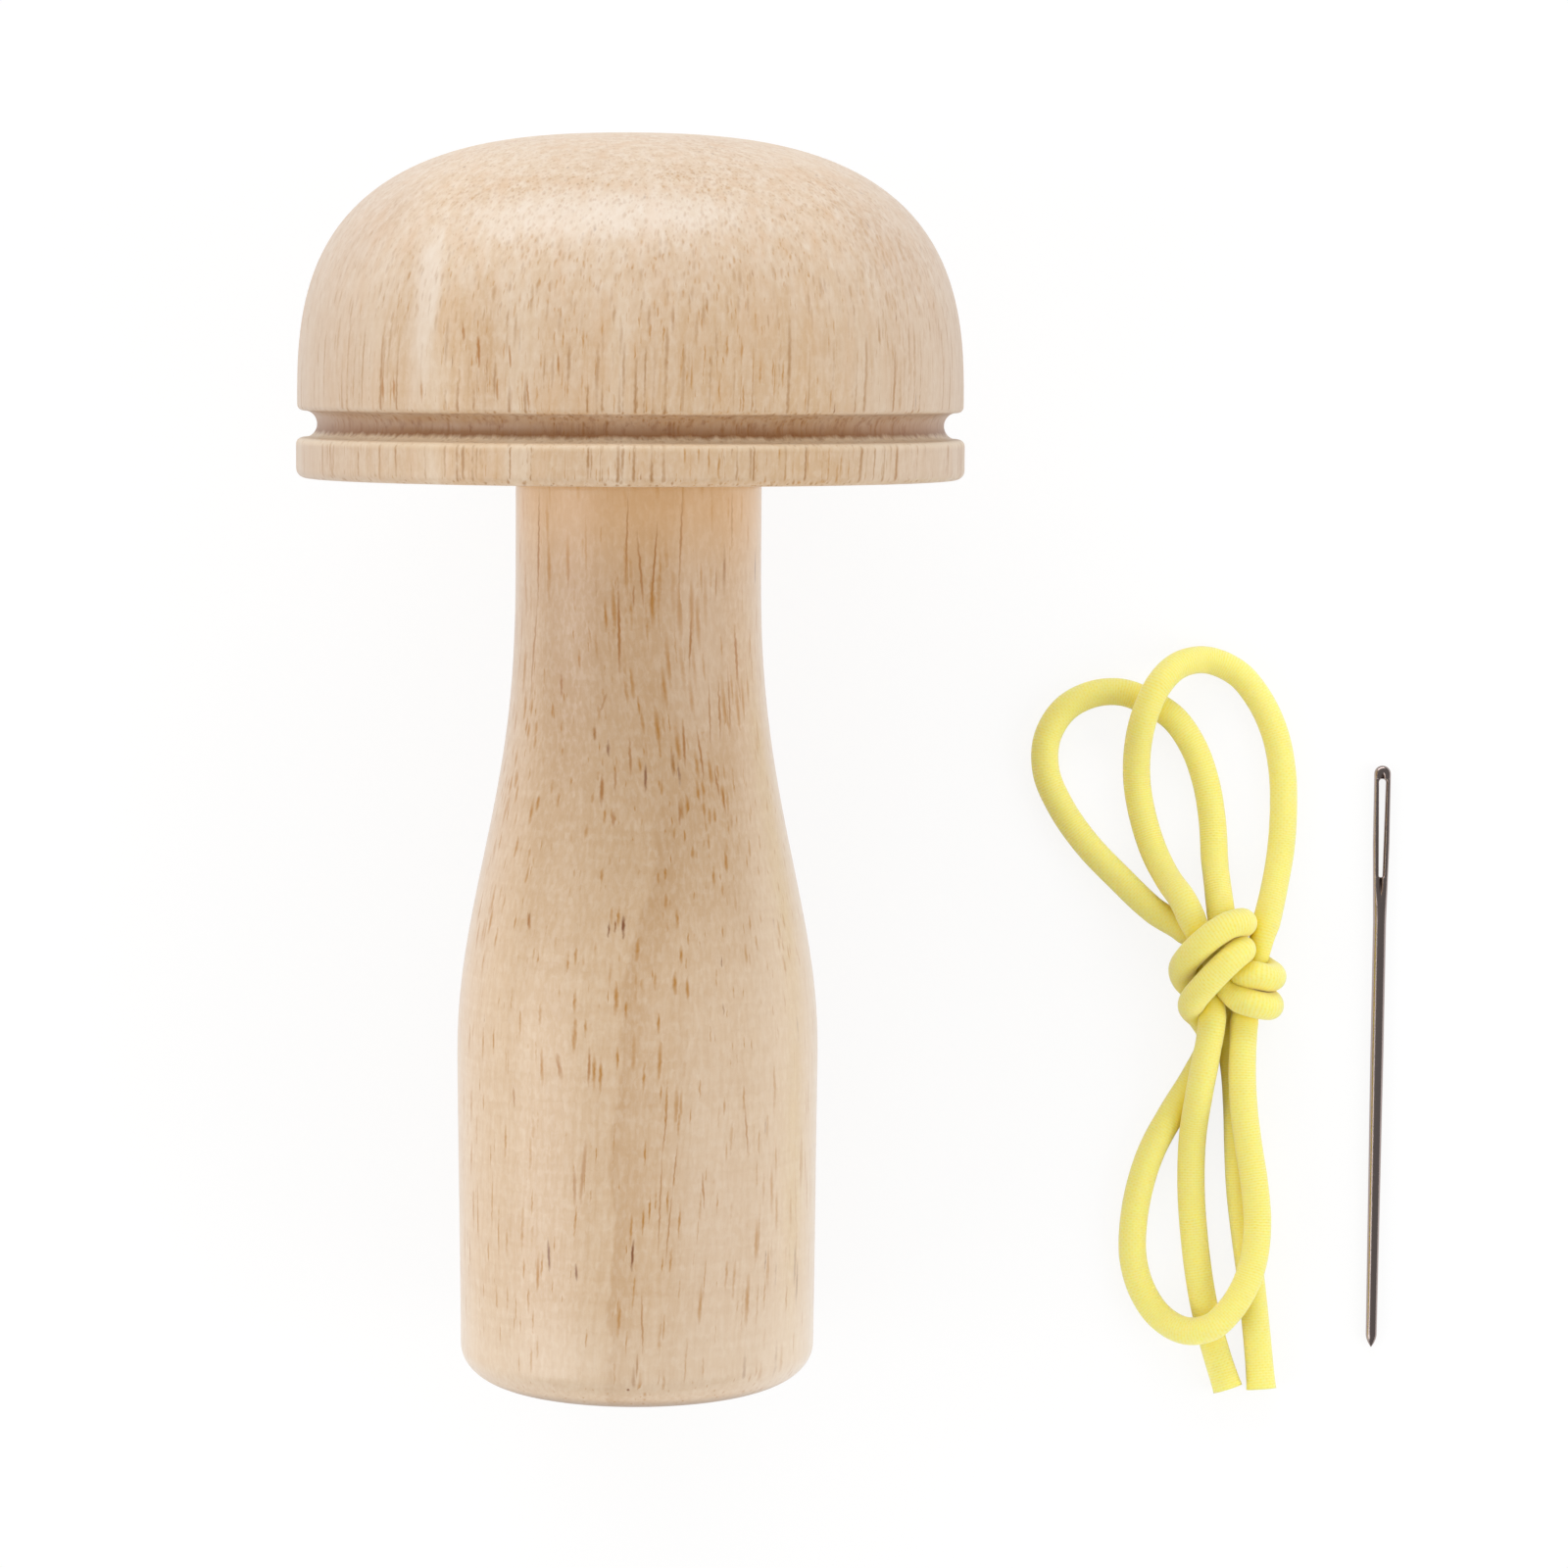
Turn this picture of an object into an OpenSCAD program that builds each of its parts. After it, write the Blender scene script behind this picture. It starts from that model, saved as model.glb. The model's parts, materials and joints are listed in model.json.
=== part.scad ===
// Wooden darner: a turned head glued on a turned handle, with its loose knotted elastic
// and long-eyed needle, all three laid out flat on a table.
// Millimetres, +Z up from the table. The darner lies on the edge of its rim and the edge of
// its foot, so its head end is raised. The origin is on the table under the middle of the foot.

/* [Head] */
// Diameter of the rim below the groove, the widest part of the head
head_diameter = 70; // [56:0.5:90]
// How much smaller the dome is than the rim, in diameter
dome_setback = 0.3; // [0:0.1:2]
// Height of the dome above the groove
dome_height = 28.8; // [18:0.1:40]
// Flatness of the crown: 2 is an ellipse, more is flatter
crown_fullness = 2.7; // [2:0.1:4]
// Uprightness of the dome's side: 2 is an ellipse, more is more upright
side_fullness = 2.9; // [2:0.1:4]
// Rounding of the dome's lower edge
dome_edge_round = 0.6; // [0.2:0.1:1.5]
// Thickness of the rim below the groove
rim_thickness = 4.2; // [3:0.1:8]
// Rounding of the rim's upper edge
rim_top_round = 0.7; // [0.2:0.1:1.2]
// Rounding of the rim's lower edge
rim_bottom_round = 1; // [0.2:0.1:1.6]
// Width of the groove that the elastic snaps into
groove_width = 2.8; // [2:0.1:3.2]
// Depth of the groove, which ends in a half round
groove_depth = 2.2; // [1.6:0.1:4]
// How far the middle of the head sits to the left of the handle's axis, by the drilling of its socket
head_off_centre = 0.8; // [0:0.1:1.5]

/* [Handle] */
// Height of the handle from the foot to the shoulder under the head
handle_height = 96; // [80:0.5:130]
// Diameter at the foot
foot_diameter = 37.8; // [30:0.2:50]
// Diameter at the top of the straight grip
grip_diameter = 38.2; // [30:0.2:50]
// Diameter of the neck under the head
neck_diameter = 25.8; // [20:0.2:28]
// Height where the grip starts to draw in
grip_top = 35; // [15:0.5:40]
// Length of the straight neck under the head
neck_length = 7.5; // [4:0.5:20]
// How soon the swell draws in above the grip: 1 is even, less is sooner
swell_lean = 0.8; // [0.6:0.05:1.4]
// Rounding round the foot
foot_round = 5; // [1:0.1:6]
// Bevel round the shoulder under the head
shoulder_bevel = 0.3; // [0.1:0.1:1]

/* [Glued joint] */
// Diameter of the tenon on the handle
tenon_diameter = 14; // [10:0.5:16]
// Length of the tenon above the shoulder
tenon_length = 16; // [10:0.5:20]
// Bevel on the tenon's end
tenon_bevel = 1; // [0.4:0.1:2]
// Width and spacing of the rings that hold glue round the tenon
glue_ring_width = 1; // [0.6:0.1:2]
// Depth of the glue rings
glue_ring_depth = 0.4; // [0.2:0.1:1]
// Glue line all round the tenon
glue_line = 0.05; // [0.02:0.01:0.1]
// Room for spare glue above the tenon
glue_room = 1; // [0.5:0.1:3]
// Countersink at the mouth of the socket
socket_countersink = 0.6; // [0.2:0.1:1.5]

/* [Elastic] */
// Distance of the knot's middle from the head's rim, to the right
knot_from_rim = 29.5; // [26:0.5:80]
// Distance of the knot's middle from the foot, along the darner
knot_from_foot = 45.1; // [0:0.1:90]

/* [Needle] */
// Length of the needle from point to head
needle_length = 64.5; // [45:0.5:80]
// Diameter of the shaft
shaft_diameter = 1.45; // [0.9:0.05:2]
// Diameter behind the point
point_diameter = 1.2; // [0.6:0.05:2]
// Length of the rounded point
point_length = 1.5; // [0.8:0.1:4]
// Width of the head across the eye
eye_head_width = 1.85; // [1.4:0.05:2.6]
// Thickness of the flattened head
eye_head_thickness = 1.1; // [0.7:0.05:1.3]
// Length of the flattened head down to the round shaft
eye_head_length = 17.5; // [14:0.5:24]
// Length of the eye
eye_length = 11; // [5:0.5:12]
// Width of the eye at its upper end
eye_width = 0.75; // [0.4:0.05:1]
// Width of the eye at its lower end
eye_foot_width = 0.4; // [0.2:0.05:0.8]
// Metal left above the eye
eye_margin = 1.5; // [0.8:0.1:3]
// Lean of the needle away from the darner's length, in degrees
needle_lean = 1.5; // [-5:0.1:20]
// Distance of the needle's point from the middle of the knot, to the right
needle_from_knot = 16; // [13:0.5:60]
// Distance of the needle's point from the foot, along the darner
needle_from_foot = 3.1; // [-40:0.1:60]

/* [Hidden] */

$fn = 96;
dome_steps = 28;
edge_steps = 5;
swell_steps = 26;
cut_past = 0.5;
wood = [0.87, 0.76, 0.62];
cover = [0.95, 0.91, 0.5];
steel = [0.72, 0.72, 0.74];

rim_radius = head_diameter / 2;
dome_radius = rim_radius - dome_setback / 2;
groove_floor = rim_radius - groove_depth;
groove_base = rim_thickness;
dome_base = groove_base + groove_width;
groove_half = groove_width / 2;

foot_radius = foot_diameter / 2;
grip_radius = grip_diameter / 2;
neck_radius = neck_diameter / 2;
neck_start = handle_height - neck_length;
tenon_radius = tenon_diameter / 2;
socket_radius = tenon_radius + glue_line;
socket_depth = tenon_length + glue_room;

shaft_radius = shaft_diameter / 2;
point_radius = point_diameter / 2;
eye_half = eye_head_width / 2;
eye_top = needle_length - eye_margin;
eye_bottom = eye_top - eye_length;
neck_of_needle = needle_length - eye_head_length;
taper_end = needle_length / 2;

// The darner lies with the roundings of foot and rim on the table: how far its axis rises
// towards the head, and how high the middle of its foot is
rim_edge = [handle_height + rim_bottom_round, rim_radius - rim_bottom_round];
foot_edge = [foot_round, foot_radius - foot_round];
edge_to_edge = rim_edge - foot_edge;
axis_rise = atan2(edge_to_edge[1], edge_to_edge[0])
    + asin((rim_bottom_round - foot_round) / norm(edge_to_edge));
foot_height = foot_round + foot_edge[1] * cos(axis_rise) - foot_edge[0] * sin(axis_rise);

knot_x = rim_radius + knot_from_rim;
needle_x = knot_x + needle_from_knot;

// The elastic's route, round the middle of its knot as it lies: x, y, height of the
// middle of the cord, and its radius, which is less where the knot squeezes it.
// end 1, up to the knot
end_1 = [
    [0.1, -46.6, 1.5, 1.45], [-1, -43.2, 1.5, 1.45], [-2, -39.6, 1.5, 1.45],
    [-2.8, -35.8, 1.5, 1.45], [-3.5, -30.5, 1.55, 1.45], [-3.9, -24.7, 1.7, 1.45],
    [-3.8, -19, 2.6, 1.45], [-3.2, -14.1, 4.5, 1.45], [-2.5, -10.3, 5, 1.45], [-2, -7.1, 5, 1.3],
    [-2, -4.4, 4.4, 0.95], [-2.4, -1.9, 3.6, 0.8], [-3.1, 0.8, 3.5, 0.8], [-4, 3.2, 3.6, 0.9],
    [-5.5, 4.6, 3.2, 1.2], [-8.2, 6.2, 2.5, 1.4]
];
// left loop
left_loop = [
    [-11.8, 9.7, 1.8, 1.45], [-15.4, 13.5, 1.5, 1.45], [-18.2, 17.5, 1.5, 1.45],
    [-19.9, 21.5, 1.5, 1.45], [-19.8, 25.3, 1.5, 1.45], [-17.9, 28.5, 1.5, 1.45],
    [-14.9, 30.2, 1.5, 1.45], [-11.6, 30.5, 1.5, 1.45], [-8.5, 29.4, 1.5, 1.45],
    [-5.7, 27.6, 1.5, 1.45], [-3.5, 24.4, 1.5, 1.45], [-2.1, 20.4, 1.5, 1.45],
    [-1.4, 16, 1.5, 1.45], [-1.2, 11.8, 1.8, 1.45], [-1, 8.8, 3.1, 1.35], [-0.8, 6, 4.3, 1.1]
];
// under both bands and out to the right
first_turn = [
    [-0.7, 3.4, 4.9, 0.85], [-0.1, 1.1, 4.95, 0.8], [0.8, -0.5, 5.5, 0.9], [2, -1.1, 6.4, 1.2],
    [3.5, -1.3, 6.6, 1.3], [4.8, -1.5, 5.9, 1.3], [5.6, -1.3, 4.2, 1.2], [5.2, -0.7, 2.3, 1.1],
    [3.8, 0.4, 1.3, 1], [2.3, 1.3, 1.8, 0.9], [1.9, 1.7, 3.8, 0.8], [1.8, 1.9, 5.9, 0.9],
    [1.3, 1.6, 7.7, 1.15], [0, 0.5, 8.6, 1.3], [-1.6, -0.9, 8.5, 1.3], [-3.2, -2.4, 7.8, 1.3],
    [-4.4, -3.8, 6.3, 1.3], [-5, -4.7, 4.2, 1.25], [-4.4, -5.9, 2.2, 1.2], [-3.5, -8, 1.5, 1.3]
];
// bottom loop
bottom_loop = [
    [-4.5, -12, 1.5, 1.45], [-6.4, -16.2, 1.5, 1.45], [-8.2, -20.4, 1.5, 1.45],
    [-9.6, -24.6, 1.5, 1.45], [-10.3, -28.8, 1.5, 1.45], [-10.3, -32.4, 1.5, 1.45],
    [-9.3, -35.9, 1.5, 1.45], [-7.4, -38.7, 2, 1.45], [-4.7, -40.2, 4, 1.45],
    [-2.1, -39.8, 4.95, 1.45], [-0.2, -38.2, 4.95, 1.45], [1.6, -35.5, 4.9, 1.45],
    [2.7, -32.3, 4.9, 1.45], [3.1, -28.4, 4.9, 1.45], [2.8, -24.2, 4.9, 1.45],
    [2.2, -20.2, 4.9, 1.45], [1.7, -16.2, 4.9, 1.45], [1.5, -12.2, 4.8, 1.45],
    [1.6, -9.1, 4.7, 1.4], [1.9, -6.5, 3.9, 1.15]
];
// straight up behind the two right bands
straight_up = [
    [2.4, -4, 3.7, 0.85], [3, -1.4, 3.8, 0.8], [3.9, 1.3, 3.9, 0.8], [4.4, 3.7, 4, 0.95],
    [4.9, 6.2, 3.5, 1.25], [5.5, 9.3, 2.3, 1.4]
];
// right loop
right_loop = [
    [6.2, 13.1, 1.55, 1.45], [6.5, 17.3, 1.55, 1.45], [6.4, 21.7, 1.5, 1.45],
    [5.6, 25.9, 1.5, 1.45], [3.9, 29.7, 1.5, 1.45], [1.4, 32.7, 1.5, 1.45], [-2, 34.1, 1.9, 1.45],
    [-5.3, 33.3, 3.6, 1.45], [-7.6, 31, 4.95, 1.45], [-9.1, 27.8, 4.7, 1.45],
    [-9.8, 24.2, 2.8, 1.45], [-9.8, 20.4, 1.6, 1.45], [-9.1, 16.4, 1.5, 1.45],
    [-7.9, 12.6, 1.8, 1.45], [-6.5, 9.5, 3.5, 1.4], [-5.2, 7.2, 5.8, 1.25], [-4.2, 4.6, 6.4, 1.05]
];
// under both bands and out to the lower right
second_turn = [
    [-3.1, 2.5, 5.8, 0.85], [-2, 0.4, 5.6, 0.8], [-1.2, -1.4, 5.3, 0.8], [0, -2.9, 5.5, 0.9],
    [1.5, -3.9, 6.1, 1.15], [3.1, -4.4, 6.4, 1.3], [4.6, -4.6, 5.6, 1.3], [5.2, -4.4, 3.8, 1.2],
    [4.9, -3.8, 2, 1.1], [3.6, -3, 1.25, 1], [1.9, -2, 1.25, 1], [0.4, -0.4, 1.25, 0.95],
    [-0.2, 1.6, 1.25, 0.95], [0.1, 3.5, 1.25, 0.95], [1.2, 4.5, 2.3, 0.9], [1.8, 4.8, 4.3, 0.9],
    [1.8, 5, 6.3, 1], [1.1, 5, 7.9, 1.2], [-0.4, 4.6, 8.85, 1.3], [-2.2, 3.6, 9.05, 1.3],
    [-4.1, 2, 8.3, 1.3], [-5.4, 0.4, 6.4, 1.3], [-5.7, -0.6, 4.2, 1.25], [-5, -1.7, 2.2, 1.15],
    [-3.3, -2.9, 1.25, 1.1], [-1.5, -4.6, 1.35, 1.1]
];
// end 2, under the bottom loop
end_2 = [
    [0.1, -7.5, 1.45, 1.3], [0.9, -11.2, 1.5, 1.45], [1.2, -15.6, 1.5, 1.45], [1.3, -20, 1.5, 1.45],
    [1.5, -24.6, 1.5, 1.45], [2, -29.3, 1.5, 1.45], [2.6, -33.9, 1.5, 1.45],
    [3.1, -38.5, 1.5, 1.45], [3.5, -42.8, 1.5, 1.45], [3.8, -46.6, 1.5, 1.45]
];
route = concat(end_1, left_loop, first_turn, bottom_loop, straight_up, right_loop, second_turn, end_2);

cord_sides = 8;
rings_per_point = 2;
last_point = len(route) - 1;

function place(p) = [p[0], p[1], p[2]];
// Knots of the route's curve, spaced by the root of the distance so that it doesn't overshoot
function spacing(i) = sqrt(norm(place(route[i + 1]) - place(route[i])));
function leading(i) = (route[i + 1] - route[i]) / spacing(i);
function slope(i) =
    i == 0 ? leading(0)
    : i == last_point ? leading(last_point - 1)
    : (leading(i - 1) * spacing(i) + leading(i) * spacing(i - 1)) / (spacing(i - 1) + spacing(i));
// A cubic between two points of the route, with the same slope on both sides of each point
function along(i, s) =
    route[i] * (2 * pow(s, 3) - 3 * pow(s, 2) + 1)
    + slope(i) * spacing(i) * (pow(s, 3) - 2 * pow(s, 2) + s)
    + route[i + 1] * (3 * pow(s, 2) - 2 * pow(s, 3))
    + slope(i + 1) * spacing(i) * (pow(s, 3) - pow(s, 2));

centres = [
    for (i = [0 : last_point - 1]) for (k = [0 : rings_per_point - 1]) along(i, k / rings_per_point),
    route[last_point]
];
ring_count = len(centres);

function unit(v) = v / norm(v);
function heading(j) = unit(place(centres[min(j + 1, ring_count - 1)]) - place(centres[max(j - 1, 0)]));
// Turns the side direction as little as the curve allows from one ring to the next
function carried(side, ahead) = unit(side - (side * ahead) * ahead);
sides = [
    for (j = 0, side = carried([1, 0, 0], heading(0));
         j < ring_count;
         j = j + 1, side = carried(side, heading(min(j, ring_count - 1))))
    side
];

function ring_point(j, k) =
    place(centres[j])
    + centres[j][3] * (cos(360 * k / cord_sides) * sides[j]
    + sin(360 * k / cord_sides) * cross(heading(j), sides[j]));
cord_points = [for (j = [0 : ring_count - 1]) for (k = [0 : cord_sides - 1]) ring_point(j, k)];
function corner(j, k) = j * cord_sides + k % cord_sides;
cord_faces = concat(
    [for (k = [1 : cord_sides - 2]) [corner(0, 0), corner(0, k), corner(0, k + 1)]],
    [for (j = [0 : ring_count - 2]) for (k = [0 : cord_sides - 1])
        [corner(j, k), corner(j + 1, k), corner(j + 1, k + 1)]],
    [for (j = [0 : ring_count - 2]) for (k = [0 : cord_sides - 1])
        [corner(j, k), corner(j + 1, k + 1), corner(j, k + 1)]],
    [for (k = [1 : cord_sides - 2])
        [corner(ring_count - 1, 0), corner(ring_count - 1, k + 1), corner(ring_count - 1, k)]]
);

// The cord's least gap to itself and its length, measured between the middles of its rings
run = [
    for (j = 0, length = 0;
         j < ring_count;
         length = length + norm(place(centres[min(j + 1, ring_count - 1)]) - place(centres[j])), j = j + 1)
    length
];
near_run = 5.2;
self_gaps = [
    for (a = [0 : ring_count - 2]) for (b = [a + 1 : ring_count - 1])
    if (run[b] - run[a] > near_run)
    norm(place(centres[b]) - place(centres[a])) - centres[a][3] - centres[b][3]
];
echo(elastic_length = run[ring_count - 1], least_gap = min(self_gaps));

function arc(middle, radius, from, to, steps) =
    [for (i = [0 : steps])
        let (turn = from + (to - from) * i / steps)
        middle + radius * [cos(turn), sin(turn)]
    ];
// A curve from 0 to 1 that starts and ends straight, as the handle draws in
function ease(t) = pow(t, 3) * (t * (6 * t - 15) + 10);
function swell(t) = [
    grip_radius + (neck_radius - grip_radius) * ease(pow(t, swell_lean)),
    grip_top + (neck_start - grip_top) * t
];

// Lays a piece that was turned upright on the table, from its foot at the origin
module laid() {
    translate([0, 0, foot_height])
    rotate([axis_rise - 90, 0, 0])
    children();
}

// Half section of the head, from the middle of its flat underside
module head_profile() {
    rim_lower = [rim_radius - rim_bottom_round, rim_bottom_round];
    rim_upper = [rim_radius - rim_top_round, groove_base - rim_top_round];
    groove_middle = [groove_floor + groove_half, groove_base + groove_half];
    dome_edge = [dome_radius - dome_edge_round, dome_base + dome_edge_round];
    polygon(concat(
        [[0, 0]],
        arc(rim_lower, rim_bottom_round, -90, 0, edge_steps),
        arc(rim_upper, rim_top_round, 0, 90, edge_steps),
        arc(groove_middle, groove_half, 270, 90, 2 * edge_steps),
        arc(dome_edge, dome_edge_round, -90, 0, edge_steps),
        [for (i = [1 : dome_steps - 1])
            let (turn = 90 * i / dome_steps)
            if (dome_height * pow(sin(turn), 2 / side_fullness) > dome_edge_round)
            [
                dome_radius * pow(cos(turn), 2 / crown_fullness),
                dome_base + dome_height * pow(sin(turn), 2 / side_fullness)
            ]
        ],
        [[0, dome_base + dome_height]]
    ));
}

module head() {
    color(wood)
    laid()
    translate([0, 0, handle_height])
    difference() {
        translate([-head_off_centre, 0, 0]) rotate_extrude() head_profile();
        translate([0, 0, -cut_past]) cylinder(h = socket_depth + cut_past, r = socket_radius);
        cylinder(h = socket_countersink, r1 = socket_radius + socket_countersink, r2 = socket_radius);
    }
}

// Half section of the handle with its tenon
module handle_profile() {
    tenon_top = handle_height + tenon_length;
    ring_gap = (tenon_length - tenon_bevel) / 3;
    polygon(concat(
        [[0, 0]],
        arc([foot_radius - foot_round, foot_round], foot_round, -90, 0, 2 * edge_steps),
        [for (i = [0 : swell_steps]) swell(i / swell_steps)],
        [
            [neck_radius, handle_height - shoulder_bevel],
            [neck_radius - shoulder_bevel, handle_height],
            [tenon_radius, handle_height]
        ],
        [for (ring = [1 : 2]) each [
            [tenon_radius, handle_height + ring * ring_gap - glue_ring_width / 2],
            [tenon_radius - glue_ring_depth, handle_height + ring * ring_gap - glue_ring_width / 4],
            [tenon_radius - glue_ring_depth, handle_height + ring * ring_gap + glue_ring_width / 4],
            [tenon_radius, handle_height + ring * ring_gap + glue_ring_width / 2]
        ]],
        [
            [tenon_radius, tenon_top - tenon_bevel],
            [tenon_radius - tenon_bevel, tenon_top],
            [0, tenon_top]
        ]
    ));
}

module handle() {
    color(wood)
    laid()
    rotate_extrude() handle_profile();
}

module elastic_cord() {
    color(cover)
    translate([knot_x, knot_from_foot, 0])
    polyhedron(points = cord_points, faces = cord_faces);
}

// Outline of the flattened head, seen from above, up the needle's length
module eye_head_outline() {
    polygon(concat(
        [[-shaft_radius, neck_of_needle], [shaft_radius, neck_of_needle]],
        [[eye_half, eye_bottom + eye_length / 3]],
        arc([0, needle_length - eye_half], eye_half, 0, 180, 2 * edge_steps),
        [[-eye_half, eye_bottom + eye_length / 3]]
    ));
}

module eye_outline() {
    polygon(concat(
        arc([0, eye_top - eye_width / 2], eye_width / 2, 0, 180, 2 * edge_steps),
        arc([0, eye_bottom + eye_foot_width / 2], eye_foot_width / 2, 180, 360, 2 * edge_steps)
    ));
}

module shaft_profile() {
    polygon(concat(
        [[0, 0]],
        [for (i = [1 : edge_steps]) [
            point_radius * (1 - pow(1 - i / edge_steps, 2)),
            point_length * i / edge_steps
        ]],
        [
            [shaft_radius, taper_end],
            [shaft_radius, neck_of_needle],
            [eye_head_thickness / 2, eye_bottom],
            [0, eye_bottom]
        ]
    ));
}

module darning_needle() {
    color(steel)
    translate([needle_x, needle_from_foot, shaft_radius])
    rotate([0, 0, -needle_lean])
    difference() {
        union() {
            rotate([-90, 0, 0]) rotate_extrude() shaft_profile();
            translate([0, 0, -eye_head_thickness / 2]) linear_extrude(eye_head_thickness) eye_head_outline();
        }
        translate([0, 0, -shaft_diameter]) linear_extrude(2 * shaft_diameter) eye_outline();
    }
}

head();
handle();
elastic_cord();
darning_needle();
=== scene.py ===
import json
import math

import bmesh
import bpy
import numpy as np
from mathutils import Matrix


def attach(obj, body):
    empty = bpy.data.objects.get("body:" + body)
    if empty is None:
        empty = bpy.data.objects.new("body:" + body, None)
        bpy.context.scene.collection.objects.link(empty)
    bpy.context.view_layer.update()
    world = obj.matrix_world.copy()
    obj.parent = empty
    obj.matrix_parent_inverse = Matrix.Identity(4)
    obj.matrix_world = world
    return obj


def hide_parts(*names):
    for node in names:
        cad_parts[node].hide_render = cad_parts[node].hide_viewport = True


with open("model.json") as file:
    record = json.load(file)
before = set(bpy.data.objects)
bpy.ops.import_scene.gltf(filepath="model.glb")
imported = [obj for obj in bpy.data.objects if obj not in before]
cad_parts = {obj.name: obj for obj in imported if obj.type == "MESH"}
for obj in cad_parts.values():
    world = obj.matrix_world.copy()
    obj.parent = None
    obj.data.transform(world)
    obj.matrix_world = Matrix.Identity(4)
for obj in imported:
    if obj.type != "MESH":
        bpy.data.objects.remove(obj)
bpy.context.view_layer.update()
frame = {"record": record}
mounts = {mount["name"]: mount for mount in frame["record"]["mounts"]}

# View
# The camera hangs over the table and looks down on the three pieces, as the photograph does.
# It is placed in the darner's own directions: across it, up its turned axis and out of its front.

MM = 0.001
foot = np.array(mounts["base"]["pos_m"])
axis_up = -np.array(mounts["base"]["axis"])
across = np.array([1.0, 0.0, 0.0])
front = np.cross(across, axis_up)
front = -front if front[2] < 0 else front

PHOTO_WIDTH = 1600
FOCAL_PIXELS = 4851
SENSOR_WIDTH = 36
EYE_DISTANCE = 500 * MM
EYE_ALONG = 108.8 * MM
EYE_ACROSS = 15.4 * MM
PITCH = math.radians(5.14)
ROLL = math.radians(0.26)

eye = foot + EYE_ACROSS * across + EYE_ALONG * axis_up + EYE_DISTANCE * front
looking = -math.cos(PITCH) * front - math.sin(PITCH) * axis_up
level_up = np.cross(np.cross(looking, axis_up), looking)
level_up /= np.linalg.norm(level_up)
level_right = np.cross(looking, level_up)
picture_up = math.cos(ROLL) * level_up - math.sin(ROLL) * level_right
picture_right = np.cross(looking, picture_up)

camera = bpy.data.objects.new("camera", bpy.data.cameras.new("camera"))
bpy.context.scene.collection.objects.link(camera)
turn = np.eye(4)
turn[:3, 0] = picture_right
turn[:3, 1] = picture_up
turn[:3, 2] = -looking
turn[:3, 3] = eye
camera.matrix_world = Matrix(turn)
camera.data.sensor_fit = "HORIZONTAL"
camera.data.sensor_width = SENSOR_WIDTH
camera.data.lens = FOCAL_PIXELS / PHOTO_WIDTH * SENSOR_WIDTH
camera.data.clip_start = 0.01
camera.data.clip_end = 20
bpy.context.scene.camera = camera

# Table and light
# A plain white table, lit by one large soft lamp beyond the head and a softer one on each side.
# Seen straight or in a shine, the table is mostly its own even white: only faint shadows stay on it.


def shader(name):
    """A new material, with its node tree and its Principled shader."""
    material = bpy.data.materials.new(name)
    material.use_nodes = True
    return material, material.node_tree, material.node_tree.nodes["Principled BSDF"]


def put(tree, slot, value):
    """Links another node's output to an input, or sets the input to a plain value."""
    if isinstance(value, bpy.types.NodeSocket):
        tree.links.new(value, slot)
    else:
        slot.default_value = value


def add(tree, kind, settings=None, **sockets):
    """Adds a node with its settings, and puts values or other nodes' outputs on its inputs. An input goes
    by its name, with _ for a space, or by its number, where i0 is the first."""
    node = tree.nodes.new("ShaderNode" + kind)
    for key, value in (settings or {}).items():
        setattr(node, key, value)
    for key, value in sockets.items():
        numbered = key[0] == "i" and key[1:].isdigit()
        put(tree, node.inputs[int(key[1:]) if numbered else key.replace("_", " ")], value)
    return node


def calc(tree, operation, first, second=0.0, third=0.0):
    """One sum of up to three numbers, such as SINE, ADD or MULTIPLY_ADD."""
    return add(tree, "Math", {"operation": operation}, i0=first, i1=second, i2=third).outputs[0]


def times(tree, first, second):
    """The product of two numbers."""
    return calc(tree, "MULTIPLY", first, second)


TABLE_SIZE = 6.0
TABLE_PAINT = (0.86, 0.86, 0.86, 1)
TABLE_WHITE = (1.04, 1.04, 1.04, 1)
TABLE_OWN_LIGHT = 0.82

corners = np.array([[-1, -1], [1, -1], [1, 1], [-1, 1]]) * TABLE_SIZE / 2
table_mesh = bpy.data.meshes.new("table")
table_mesh.from_pydata([(x, y, 0.0) for x, y in corners], [], [(0, 1, 2, 3)])
table = bpy.data.objects.new("table", table_mesh)
bpy.context.scene.collection.objects.link(table)
material, tree, surface = shader("white_table")
tree.nodes.remove(surface)
path = add(tree, "LightPath")
seen = calc(tree, "ADD", path.outputs["Is Camera Ray"], path.outputs["Is Glossy Ray"])
seen = times(tree, calc(tree, "ADD", seen, path.outputs["Is Transmission Ray"]), TABLE_OWN_LIGHT)
paint = add(tree, "BsdfDiffuse", Color=TABLE_PAINT)
glow = add(tree, "Emission", Color=TABLE_WHITE, Strength=1.0)
mixed = add(tree, "MixShader", i0=seen, i1=paint.outputs[0], i2=glow.outputs[0])
put(tree, tree.nodes["Material Output"].inputs["Surface"], mixed.outputs[0])
table_mesh.materials.append(material)

LAYOUT_MIDDLE = (0.02, 0.06, 0.03)


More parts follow.
